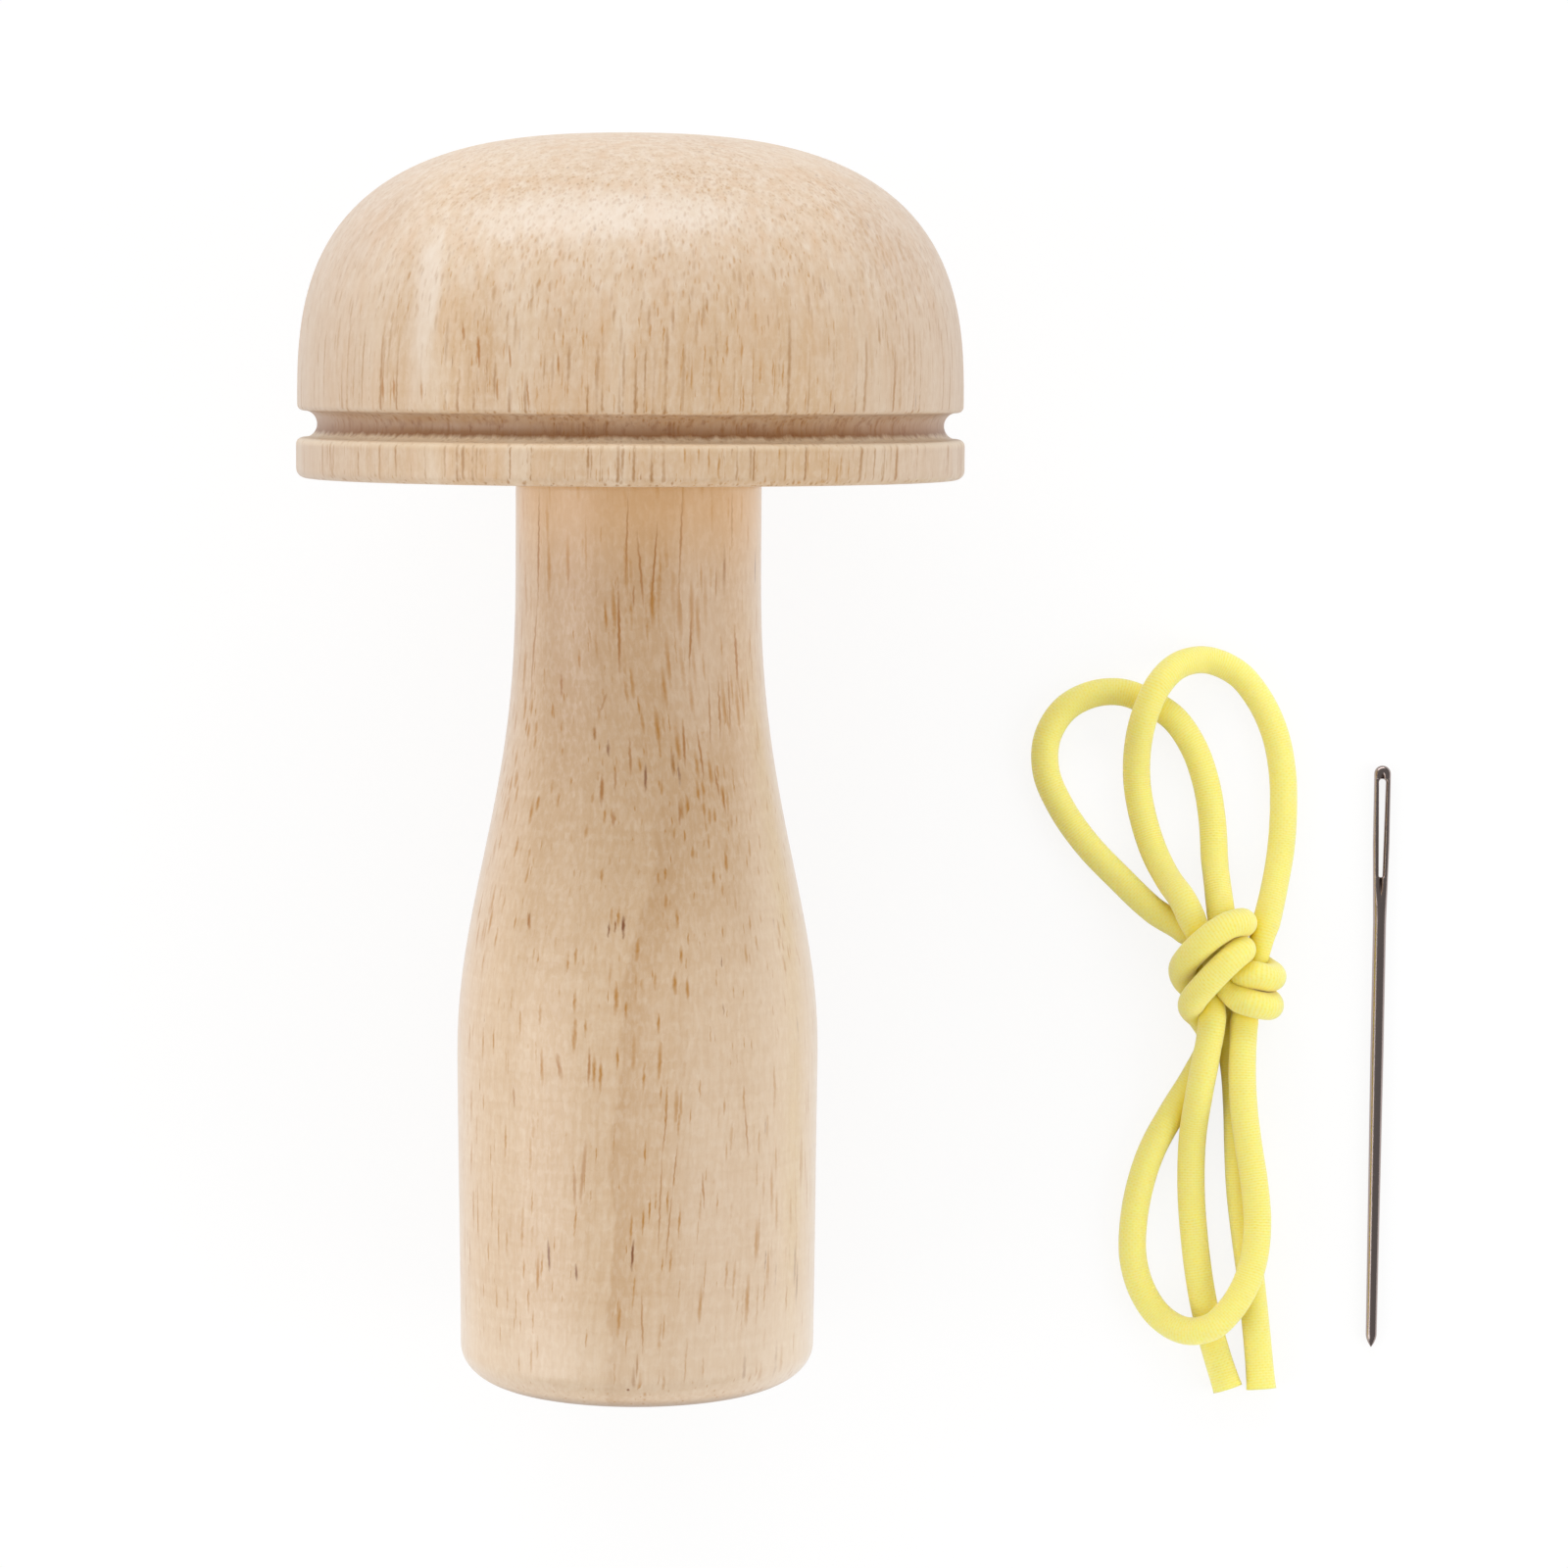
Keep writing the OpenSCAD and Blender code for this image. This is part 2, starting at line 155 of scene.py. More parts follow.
def lamp(name, place, width, height, power):
    """A soft lamp at a place, so wide and so high, turned towards the middle of the layout."""
    light = bpy.data.lights.new(name, "AREA")
    light.shape = "RECTANGLE"
    light.size = width
    light.size_y = height
    light.energy = power
    holder = bpy.data.objects.new(name, light)
    bpy.context.scene.collection.objects.link(holder)
    towards = np.array(LAYOUT_MIDDLE) - np.array(place)
    towards /= np.linalg.norm(towards)
    side = np.cross([0.0, 0.0, 1.0], -towards)
    side /= np.linalg.norm(side)
    pose = np.eye(4)
    pose[:3, 0] = side
    pose[:3, 1] = np.cross(-towards, side)
    pose[:3, 2] = -towards
    pose[:3, 3] = place
    holder.matrix_world = Matrix(pose)
    return holder


lamp("lamp_beyond_head", (-0.2, 1.05, 0.54), 1.6, 0.32, 6.2)
lamp("lamp_left", (-0.9, -0.25, 0.5), 0.8, 0.8, 3.9)
lamp("lamp_right", (0.93, -0.25, 0.5), 0.8, 0.8, 4.4).visible_glossy = False

ROOM_COLOUR = (1.0, 0.995, 0.99, 1)
ROOM_LIGHT = 0.64
ROOM_IN_SHINES = 0.22

world = bpy.data.worlds.new("studio")
bpy.context.scene.world = world
world.use_nodes = True
tree = world.node_tree
air = tree.nodes["Background"]
in_shine = add(tree, "LightPath").outputs["Is Glossy Ray"]
dimmed = calc(tree, "MULTIPLY_ADD", in_shine, ROOM_IN_SHINES - ROOM_LIGHT, ROOM_LIGHT)
put(tree, air.inputs["Color"], ROOM_COLOUR)
put(tree, air.inputs["Strength"], dimmed)
bpy.context.scene.view_settings.view_transform = "Standard"

# Elastic
# One length of round elastic, rubber strands in a braided cover, tied in a knot with three loops.
# It lies loose on the table, and its route repeats the points of the solid. A point is its place right
# of, up from and above the knot's place and half the cord's thickness there, in millimetres.

KNOT_PLACE = np.array([64.5, 45.1, 0.0]) * MM
END_1 = [
    [0.1, -46.6, 1.5, 1.45], [-1, -43.2, 1.5, 1.45], [-2, -39.6, 1.5, 1.45], [-2.8, -35.8, 1.5, 1.45],
    [-3.5, -30.5, 1.55, 1.45], [-3.9, -24.7, 1.7, 1.45], [-3.8, -19, 2.6, 1.45],
    [-3.2, -14.1, 4.5, 1.45], [-2.5, -10.3, 5, 1.45], [-2, -7.1, 5, 1.3], [-2, -4.4, 4.4, 0.95],
    [-2.4, -1.9, 3.6, 0.8], [-3.1, 0.8, 3.5, 0.8], [-4, 3.2, 3.6, 0.9], [-5.5, 4.6, 3.2, 1.2],
    [-8.2, 6.2, 2.5, 1.4]
]
LEFT_LOOP = [
    [-11.8, 9.7, 1.8, 1.45], [-15.4, 13.5, 1.5, 1.45], [-18.2, 17.5, 1.5, 1.45],
    [-19.9, 21.5, 1.5, 1.45], [-19.8, 25.3, 1.5, 1.45], [-17.9, 28.5, 1.5, 1.45],
    [-14.9, 30.2, 1.5, 1.45], [-11.6, 30.5, 1.5, 1.45], [-8.5, 29.4, 1.5, 1.45], [-5.7, 27.6, 1.5, 1.45],
    [-3.5, 24.4, 1.5, 1.45], [-2.1, 20.4, 1.5, 1.45], [-1.4, 16, 1.5, 1.45], [-1.2, 11.8, 1.8, 1.45],
    [-1, 8.8, 3.1, 1.35], [-0.8, 6, 4.3, 1.1]
]
FIRST_TURN = [
    [-0.7, 3.4, 4.9, 0.85], [-0.1, 1.1, 4.95, 0.8], [0.8, -0.5, 5.5, 0.9], [2, -1.1, 6.4, 1.2],
    [3.5, -1.3, 6.6, 1.3], [4.8, -1.5, 5.9, 1.3], [5.6, -1.3, 4.2, 1.2], [5.2, -0.7, 2.3, 1.1],
    [3.8, 0.4, 1.3, 1], [2.3, 1.3, 1.8, 0.9], [1.9, 1.7, 3.8, 0.8], [1.8, 1.9, 5.9, 0.9],
    [1.3, 1.6, 7.7, 1.15], [0, 0.5, 8.6, 1.3], [-1.6, -0.9, 8.5, 1.3], [-3.2, -2.4, 7.8, 1.3],
    [-4.4, -3.8, 6.3, 1.3], [-5, -4.7, 4.2, 1.25], [-4.4, -5.9, 2.2, 1.2], [-3.5, -8, 1.5, 1.3]
]
BOTTOM_LOOP = [
    [-4.5, -12, 1.5, 1.45], [-6.4, -16.2, 1.5, 1.45], [-8.2, -20.4, 1.5, 1.45], [-9.6, -24.6, 1.5, 1.45],
    [-10.3, -28.8, 1.5, 1.45], [-10.3, -32.4, 1.5, 1.45], [-9.3, -35.9, 1.5, 1.45],
    [-7.4, -38.7, 2, 1.45], [-4.7, -40.2, 4, 1.45], [-2.1, -39.8, 4.95, 1.45], [-0.2, -38.2, 4.95, 1.45],
    [1.6, -35.5, 4.9, 1.45], [2.7, -32.3, 4.9, 1.45], [3.1, -28.4, 4.9, 1.45], [2.8, -24.2, 4.9, 1.45],
    [2.2, -20.2, 4.9, 1.45], [1.7, -16.2, 4.9, 1.45], [1.5, -12.2, 4.8, 1.45], [1.6, -9.1, 4.7, 1.4],
    [1.9, -6.5, 3.9, 1.15]
]
STRAIGHT_UP = [
    [2.4, -4, 3.7, 0.85], [3, -1.4, 3.8, 0.8], [3.9, 1.3, 3.9, 0.8], [4.4, 3.7, 4, 0.95],
    [4.9, 6.2, 3.5, 1.25], [5.5, 9.3, 2.3, 1.4]
]
RIGHT_LOOP = [
    [6.2, 13.1, 1.55, 1.45], [6.5, 17.3, 1.55, 1.45], [6.4, 21.7, 1.5, 1.45], [5.6, 25.9, 1.5, 1.45],
    [3.9, 29.7, 1.5, 1.45], [1.4, 32.7, 1.5, 1.45], [-2, 34.1, 1.9, 1.45], [-5.3, 33.3, 3.6, 1.45],
    [-7.6, 31, 4.95, 1.45], [-9.1, 27.8, 4.7, 1.45], [-9.8, 24.2, 2.8, 1.45], [-9.8, 20.4, 1.6, 1.45],
    [-9.1, 16.4, 1.5, 1.45], [-7.9, 12.6, 1.8, 1.45], [-6.5, 9.5, 3.5, 1.4], [-5.2, 7.2, 5.8, 1.25],
    [-4.2, 4.6, 6.4, 1.05]
]
SECOND_TURN = [
    [-3.1, 2.5, 5.8, 0.85], [-2, 0.4, 5.6, 0.8], [-1.2, -1.4, 5.3, 0.8], [0, -2.9, 5.5, 0.9],
    [1.5, -3.9, 6.1, 1.15], [3.1, -4.4, 6.4, 1.3], [4.6, -4.6, 5.6, 1.3], [5.2, -4.4, 3.8, 1.2],
    [4.9, -3.8, 2, 1.1], [3.6, -3, 1.25, 1], [1.9, -2, 1.25, 1], [0.4, -0.4, 1.25, 0.95],
    [-0.2, 1.6, 1.25, 0.95], [0.1, 3.5, 1.25, 0.95], [1.2, 4.5, 2.3, 0.9], [1.8, 4.8, 4.3, 0.9],
    [1.8, 5, 6.3, 1], [1.1, 5, 7.9, 1.2], [-0.4, 4.6, 8.85, 1.3], [-2.2, 3.6, 9.05, 1.3],
    [-4.1, 2, 8.3, 1.3], [-5.4, 0.4, 6.4, 1.3], [-5.7, -0.6, 4.2, 1.25], [-5, -1.7, 2.2, 1.15],
    [-3.3, -2.9, 1.25, 1.1], [-1.5, -4.6, 1.35, 1.1]
]
END_2 = [
    [0.1, -7.5, 1.45, 1.3], [0.9, -11.2, 1.5, 1.45], [1.2, -15.6, 1.5, 1.45], [1.3, -20, 1.5, 1.45],
    [1.5, -24.6, 1.5, 1.45], [2, -29.3, 1.5, 1.45], [2.6, -33.9, 1.5, 1.45], [3.1, -38.5, 1.5, 1.45],
    [3.5, -42.8, 1.5, 1.45], [3.8, -46.6, 1.5, 1.45]
]
route = MM * np.array(
    END_1 + LEFT_LOOP + FIRST_TURN + BOTTOM_LOOP + STRAIGHT_UP + RIGHT_LOOP + SECOND_TURN + END_2
)

# The solid's strands keep a gap. Here the knot is drawn tight: up to a seventh narrower, its top lower,
# and the strand that leaves the first turn lies under the first end.
SIDE_SQUEEZE = 0.14
TOP_SQUEEZE = 0.14
KNOT_HALF_WIDTH = 9 * MM
KNOT_HALF_HEIGHT = 6.5 * MM
KNOT_TOP_STARTS = 1.5 * MM
UNDER_END = np.array([0.6, 1.6, 1.9, 1.2, 0.5]) * MM
leaving = len(END_1) + len(LEFT_LOOP) + len(FIRST_TURN) - 3
route[leaving:leaving + len(UNDER_END), 0] += UNDER_END
in_knot = np.exp(-((route[:, 1] / KNOT_HALF_HEIGHT) ** 4) - (route[:, 0] / KNOT_HALF_WIDTH) ** 4)
upper = 0.5 + 0.5 * np.tanh(route[:, 1] / KNOT_TOP_STARTS)
route[:, 0] *= 1 - SIDE_SQUEEZE * in_knot
route[:, 1] *= 1 - TOP_SQUEEZE * in_knot * upper
route[:, :3] += KNOT_PLACE


def flowing(points, steps):
    """A curve through all points: a cubic between each two, whose slope at a point is the mean of the
    slopes before and after it, weighted by the root of the distance to the other neighbour."""
    gap = np.sqrt(np.linalg.norm(np.diff(points[:, :3], axis=0), axis=1))[:, None]
    chord = np.diff(points, axis=0) / gap
    between = (chord[:-1] * gap[1:] + chord[1:] * gap[:-1]) / (gap[:-1] + gap[1:])
    slope = np.vstack([chord[:1], between, chord[-1:]])
    s = (np.arange(steps) / steps)[None, :, None]
    a, b, g = points[:-1, None], points[1:, None], gap[:, None]
    inside = (
        a * (2 * s**3 - 3 * s**2 + 1)
        + slope[:-1, None] * g * (s**3 - 2 * s**2 + s)
        + b * (3 * s**2 - 2 * s**3)
        + slope[1:, None] * g * (s**3 - s**2)
    )
    return np.vstack([inside.reshape(-1, points.shape[1]), points[-1:]])


def evenly(points, spacing):
    """The same curve with its points an even distance apart, and the distance of each from the start."""
    step = np.linalg.norm(np.diff(points[:, :3], axis=0), axis=1)
    run = np.concatenate([[0], np.cumsum(step)])
    count = int(run[-1] / spacing) + 1
    even = np.linspace(0, run[-1], count)
    return np.stack([np.interp(even, run, column) for column in points.T], axis=1), even


def rolled(first, ahead):
    """Carries the first side vector along the curve, turning it no more than the curve does."""
    side = np.empty_like(ahead)
    side[0] = first - (first @ ahead[0]) * ahead[0]
    side[0] /= np.linalg.norm(side[0])
    for k in range(1, len(ahead)):
        flat = side[k - 1] - (side[k - 1] @ ahead[k]) * ahead[k]
        side[k] = flat / np.linalg.norm(flat)
    return side


def closed_grid(rings, sides):
    """Faces of a grid of rings that closes round itself, each ring joined to the next by squares."""
    i, j = np.meshgrid(np.arange(rings - 1), np.arange(sides), indexing="ij")
    k = (j + 1) % sides
    squares = np.stack([i * sides + j, i * sides + k, (i + 1) * sides + k, (i + 1) * sides + j], axis=-1)
    return squares.reshape(-1, 4)


def capped(rings, sides):
    """Triangles that close the first and the last ring of such a grid, each to one point of its own. The
    two points come after the grid's."""
    ring = np.arange(sides)
    first = np.stack([np.full(sides, rings * sides), np.roll(ring, -1), ring], axis=1)
    last = np.stack([np.full(sides, rings * sides + 1), ring, np.roll(ring, -1)], axis=1)
    last[:, 1:] += (rings - 1) * sides
    return np.vstack([first, last])


def made(name, points, squares, triangles=None, around=None, along=None):
    """Puts points and faces into a mesh with smooth faces, and a UV map of around and along if given."""
    mesh = bpy.data.meshes.new(name)
    faces = squares.tolist() + (triangles.tolist() if triangles is not None else [])
    mesh.from_pydata(points.tolist(), [], faces)
    mesh.polygons.foreach_set("use_smooth", np.ones(len(faces), bool))
    if around is not None:
        corner = np.empty(len(mesh.loops), int)
        mesh.loops.foreach_get("vertex_index", corner)
        uv = np.stack([around[corner], along[corner]], axis=1)
        sides = uv[: len(squares) * 4].reshape(-1, 4, 2)
        wraps = (sides[:, :, 0].max(axis=1) - sides[:, :, 0].min(axis=1)) > 0.5
        sides[wraps, :, 0] = np.where(sides[wraps, :, 0] < 0.5, sides[wraps, :, 0] + 1, sides[wraps, :, 0])
        uv[: len(squares) * 4] = sides.reshape(-1, 2)
        mesh.uv_layers.new(name="surface").data.foreach_set("uv", uv.ravel())
    mesh.update()
    piece = bpy.data.objects.new(name, mesh)
    bpy.context.scene.collection.objects.link(piece)
    return piece


ROUTE_STEPS = 24
RING_SPACING = 0.22 * MM
line, run = evenly(flowing(route, ROUTE_STEPS), RING_SPACING)
ahead = np.gradient(line[:, :3], axis=0)
ahead /= np.linalg.norm(ahead, axis=1)[:, None]
side = rolled(np.array([1.0, 0.0, 0.0]), ahead)
lift = np.cross(ahead, side)

CORD_SIDES = 32
COVER_FULLNESS = 0.07 * MM
KNOT_SWELL = 0.46 * MM
SQUEEZED_BELOW = 1.42 * MM
SQUEEZE_RANGE = 0.3 * MM
THICKEST = 1.66 * MM
END_FLARE = 0.09
END_REACH = 1.5 * MM
squeezed = np.clip((SQUEEZED_BELOW - line[:, 3]) / SQUEEZE_RANGE, 0, 1)
skin = np.minimum(line[:, 3] + COVER_FULLNESS + (KNOT_SWELL - COVER_FULLNESS) * squeezed, THICKEST)
line[:, 2] = np.maximum(line[:, 2], skin)
from_end = np.minimum(run, run[-1] - run)
skin *= 1 + END_FLARE * np.exp(-from_end / END_REACH)
angle = np.linspace(0, 2 * np.pi, CORD_SIDES, endpoint=False)
circle = np.cos(angle)[None, :, None] * side[:, None] + np.sin(angle)[None, :, None] * lift[:, None]
tube = line[:, None, :3] + skin[:, None, None] * circle
rings = len(line)
points = np.vstack([tube.reshape(-1, 3), line[:1, :3], line[-1:, :3]])
around = np.concatenate([np.tile(np.arange(CORD_SIDES) / CORD_SIDES, rings), [0.5, 0.5]])
along = np.concatenate([np.repeat(run, CORD_SIDES), [-1, -1]])
squares, ends = closed_grid(rings, CORD_SIDES), capped(rings, CORD_SIDES)
elastic = made("elastic", points, squares, ends, around, along)


def nearness(points, own, line, run, radii, reach, far):
    """How close each point comes to another stretch of the same cord: 1 where they touch, less by the
    same factor for every reach of distance. Stretches nearer than far along the cord don't count."""
    close = np.empty(len(points))
    at_once = 4000
    for start in range(0, len(points), at_once):
        block = slice(start, start + at_once)
        gap = np.linalg.norm(points[block, None] - line[None], axis=2) - radii[None]
        gap[np.abs(own[block, None] - run[None]) < far] = np.inf
        close[block] = np.exp(-np.clip(gap.min(axis=1), 0, None) / reach)
    return close


# Painted shade: the cord turns a deeper gold where it nears another stretch, in the knot's creases.
CREASE_REACH = 0.60 * MM
OTHER_STRETCH = 7 * MM
own_run = np.concatenate([np.repeat(run, CORD_SIDES), [0, run[-1]]])
exact = points.astype(np.float32)
middle = line[::4, :3].astype(np.float32)
crease_shade = nearness(exact, own_run, middle, run[::4], skin[::4], CREASE_REACH, OTHER_STRETCH).astype(np.float32)
elastic.data.attributes.new("crease_shade", "FLOAT", "POINT").data.foreach_set("value", crease_shade)


def mapped(tree, value, start, end, low=0.0, high=1.0, smooth=False):
    """Turns a value between start and end into one between low and high, and holds it there beyond."""
    kind = {"interpolation_type": "SMOOTHSTEP"} if smooth else {}
    return add(tree, "MapRange", kind, i0=value, i1=start, i2=end, i3=low, i4=high).outputs[0]


def blend(tree, amount, first, second):
    """Mixes two colours by an amount from 0, the first, to 1, the second."""
    return add(tree, "Mix", {"data_type": "RGBA"}, i0=amount, i6=first, i7=second).outputs[2]


def raised(tree, surface, height, strength, depth):
    """Lets a pattern shade the surface as relief of so many metres' depth, at a strength from 0 to 1."""
    relief = add(tree, "Bump", Strength=strength, Distance=depth, Height=height)
    put(tree, surface.inputs["Normal"], relief.outputs[0])


def finished(tree, surface, **values):
    """Puts values or other nodes' outputs on the shader's inputs, by their names with _ for a space."""
    for key, value in values.items():
        put(tree, surface.inputs[key.replace("_", " ")], value)


COVER_YELLOW = (0.99, 0.885, 0.30, 1)
COVER_HOLLOW_SHADE = (0.98, 0.78, 0.08, 1)
CREASE_SHADE_GOLD = (0.96, 0.76, 0.035, 1)
COVER_BLOOM = (1.0, 0.98, 0.86, 1)
RIB_PITCH = 0.30 * MM
RIB_WANDER = 9.0
PLAITS_ROUND = 14
PLAIT_SHARE = 0.35
FUZZ_SHARE = 0.8

material, tree, surface = shader("braided_elastic")
parts = add(tree, "SeparateXYZ", i0=add(tree, "UVMap").outputs[0])
place = add(tree, "TexCoord").outputs["Object"]
slips = add(tree, "TexNoise", Vector=place, Scale=500.0, Detail=2.0).outputs["Fac"]
wandering = times(tree, slips, RIB_WANDER)
turns = times(tree, parts.outputs[0], 2 * math.pi * PLAITS_ROUND)
steps = calc(tree, "MULTIPLY_ADD", parts.outputs[1], 2 * math.pi / (2 * RIB_PITCH), wandering)
left = calc(tree, "SINE", calc(tree, "ADD", turns, steps))
right = calc(tree, "SINE", calc(tree, "SUBTRACT", turns, steps))
plait = calc(tree, "MAXIMUM", left, right)
ribs = calc(tree, "SINE", calc(tree, "MULTIPLY_ADD", parts.outputs[1], 2 * math.pi / RIB_PITCH, wandering))
fuzz = add(tree, "TexNoise", Vector=place, Scale=2600.0, Detail=3.0).outputs["Fac"]
patch = add(tree, "TexNoise", Vector=place, Scale=90.0, Detail=1.0).outputs["Fac"]
weave = calc(tree, "MULTIPLY_ADD", ribs, patch, times(tree, plait, PLAIT_SHARE))
height = calc(tree, "MULTIPLY_ADD", fuzz, FUZZ_SHARE, weave)
# Painted shade: the weave's low places are coloured a deeper yellow, as shade in its hollows.
colour = blend(tree, mapped(tree, height, -0.5, 0.75, 0.15, 1.0), COVER_HOLLOW_SHADE, COVER_YELLOW)
# Painted shade: deeper gold in the knot's creases.
crease_shading = add(tree, "Attribute", {"attribute_name": "crease_shade"}).outputs["Fac"]
raised(tree, surface, height, strength=0.35, depth=0.05 * MM)
finished(
    tree, surface, Base_Color=blend(tree, crease_shading, colour, CREASE_SHADE_GOLD), Roughness=0.75,
    Sheen_Weight=0.5, Sheen_Roughness=0.45, Sheen_Tint=COVER_BLOOM,
    Subsurface_Weight=0.75, Subsurface_Radius=(1.2 * MM, 1.0 * MM, 0.2 * MM), Subsurface_Scale=1.0,
)
elastic.data.materials.append(material)
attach(elastic, "elastic")
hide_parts("elastic_cord")

# Handle
# Turned from a billet of pale rubberwood, sanded and waxed: a bottle shape with a rounded foot.
# On its top is the tenon, turned in one piece with it, that is glued into the head.

FOOT_RADIUS = 18.78 * MM
GRIP_RADIUS = 19.1 * MM
NECK_RADIUS = 12.9 * MM
GRIP_TOP = 35.0 * MM
NECK_START = 88.5 * MM
SWELL_LEAN = 0.8
HANDLE_HEIGHT = 96.0 * MM
FOOT_ROUND = 5.8 * MM
FOOT_DROP = 4.1 * MM
SHOULDER_BEVEL = 0.3 * MM
TENON_RADIUS = 7.0 * MM
TENON_LENGTH = 16.0 * MM
TENON_BEVEL = 1.0 * MM
TURNED_SIDES = 384


def round_edge(middle, radius, start, end, steps, rise=None):
    """Points on an arc about a middle (radius from the axis, height), from one angle to another; with a
    rise it is the arc of an ellipse that goes so far up and down."""
    turn = np.radians(np.linspace(start, end, steps))
    rise = radius if rise is None else rise
    return np.stack([middle[0] + radius * np.cos(turn), middle[1] + rise * np.sin(turn)], axis=1)


def straight(start, end, steps):
    """Points evenly spaced on a straight stretch of an outline, without its two ends."""
    t = np.linspace(0, 1, steps + 2)[1:-1, None]
    return np.array(start) * (1 - t) + np.array(end) * t


def turned(name, outline, wander, off_centre=0.0):
    """Revolves an outline of (radius, height) rows about the turned axis, as on a lathe. wander gives a
    small change of radius for every angle and row. The ends of the outline lie on the axis and become
    single points, and the whole is laid down on the table in the darner's own directions."""
    rows = outline[1:-1]
    turn = np.linspace(0, 2 * np.pi, TURNED_SIDES, endpoint=False)[None, :]
    radius = rows[:, :1] + wander(turn, rows[:, 1:], rows[:, :1])
    height = np.repeat(rows[:, 1:], TURNED_SIDES, axis=1)
    skin = np.stack([radius * np.cos(turn), radius * np.sin(turn), height], axis=-1).reshape(-1, 3)
    poles = np.array([[0, 0, outline[0, 1]], [0, 0, outline[-1, 1]]])
    upright = np.vstack([skin, poles]) + np.array([off_centre, 0, 0])
    points = foot + upright[:, :1] * across - upright[:, 1:2] * front + upright[:, 2:] * axis_up
    return made(name, points, closed_grid(len(rows), TURNED_SIDES), capped(len(rows), TURNED_SIDES))


draw_in = np.linspace(0, 1, 90)
lean = draw_in**SWELL_LEAN
ease = lean**3 * (lean * (6 * lean - 15) + 10)
swell_radius = GRIP_RADIUS + (NECK_RADIUS - GRIP_RADIUS) * ease
swell_height = GRIP_TOP + (NECK_START - GRIP_TOP) * draw_in
bevel_base = HANDLE_HEIGHT - SHOULDER_BEVEL
tenon_top = HANDLE_HEIGHT + TENON_LENGTH
tip_base = tenon_top - TENON_BEVEL
handle_outline = np.vstack([
    [[0, 0]],
    straight((0, 0), (FOOT_RADIUS - FOOT_ROUND, 0), 10),
    round_edge((FOOT_RADIUS - FOOT_ROUND, FOOT_DROP), FOOT_ROUND, -90, 0, 20, FOOT_DROP),
    straight((FOOT_RADIUS, FOOT_DROP), (GRIP_RADIUS, GRIP_TOP), 30),
    np.stack([swell_radius, swell_height], axis=1),
    straight((NECK_RADIUS, NECK_START), (NECK_RADIUS, bevel_base), 8),
    [[NECK_RADIUS, bevel_base], [NECK_RADIUS - SHOULDER_BEVEL, HANDLE_HEIGHT], [TENON_RADIUS, HANDLE_HEIGHT]],
    straight((TENON_RADIUS, HANDLE_HEIGHT), (TENON_RADIUS, tip_base), 6),
    [[TENON_RADIUS, tip_base], [TENON_RADIUS - TENON_BEVEL, tenon_top], [0, tenon_top]],
])
SANDING = 0.02 * MM


def sanded_handle(turn, height, radius):
    """Hand sanding leaves the handle a few hundredths of a millimetre out of round."""
    return SANDING * np.sin(3 * turn + 90 * height) * np.sin(140 * height)


handle = turned("turned_handle", handle_outline, sanded_handle)


def vector(tree, operation, first, second):
    """One sum of two places, such as ADD or MULTIPLY."""
    return add(tree, "VectorMath", {"operation": operation}, i0=first, i1=second).outputs[0]


def figure(tree, place, waves, detail, low, high):
    """A cloudy pattern from 0 to 1, of so many waves a metre across and along the grain."""
    scaled = add(tree, "Mapping", Vector=place, Scale=(waves[0], waves[0], waves[1]))
    cloud = add(tree, "TexNoise", Vector=scaled.outputs[0], Scale=1.0, Detail=detail, Roughness=0.55)
    return mapped(tree, cloud.outputs["Fac"], low, high)


def shaken(tree, place, waves, reach):
    """The same place, pushed about by a cloudy pattern of so many waves a metre by up to its reach. The
    cloud keeps within about a quarter of its middle, so four times that fills the reach."""
    cloud = add(tree, "TexNoise", Vector=place, Scale=waves, Detail=1.0).outputs["Color"]
    centred = vector(tree, "SUBTRACT", cloud, (0.5, 0.5, 0.5))
    push = vector(tree, "MULTIPLY", centred, tuple(4 * r for r in reach))
    return vector(tree, "ADD", place, push)


def band(tree, value, rise, fall, most=1.0, least=0.0):
    """Goes from least to most over the rise, and down to 0 over the fall that comes after it."""
    up = mapped(tree, value, rise[0], rise[1], least, most)
    return times(tree, up, mapped(tree, value, fall[0], fall[1], 1.0, 0.0))


def vessels(tree, place, across, along, narrow, wide, share, crowd):
    """Open pores: long thin cells along the grain with one vessel in each, pointed at both ends. A cell's
    own random number says how wide its vessel is, from narrow to wide parts of the cell, and a share of
    them is open. Returns how much vessel is here, from 0 to 1, and another random number of its cell."""
    stretched = add(tree, "Mapping", Vector=place, Scale=(1 / across, 1 / across, 1 / along)).outputs[0]
    cell = add(tree, "TexVoronoi", {"voronoi_dimensions": "3D", "feature": "F1"}, Vector=stretched, Scale=1.0)
    number = add(tree, "SeparateColor", i0=cell.outputs["Color"])
    open_cell = calc(tree, "GREATER_THAN", number.outputs[0], 1 - share)
    size = mapped(tree, number.outputs[0], 1 - share, 1.0, narrow, wide)
    above_nothing = 0.0005
    edge = calc(tree, "MULTIPLY_ADD", times(tree, size, open_cell), crowd, above_nothing)
    here = mapped(tree, cell.outputs["Distance"], times(tree, edge, 0.25), times(tree, edge, 1.1), 1.0, 0.0)
    return here, number.outputs[1]


SPOT_DEPTH = 5 * MM


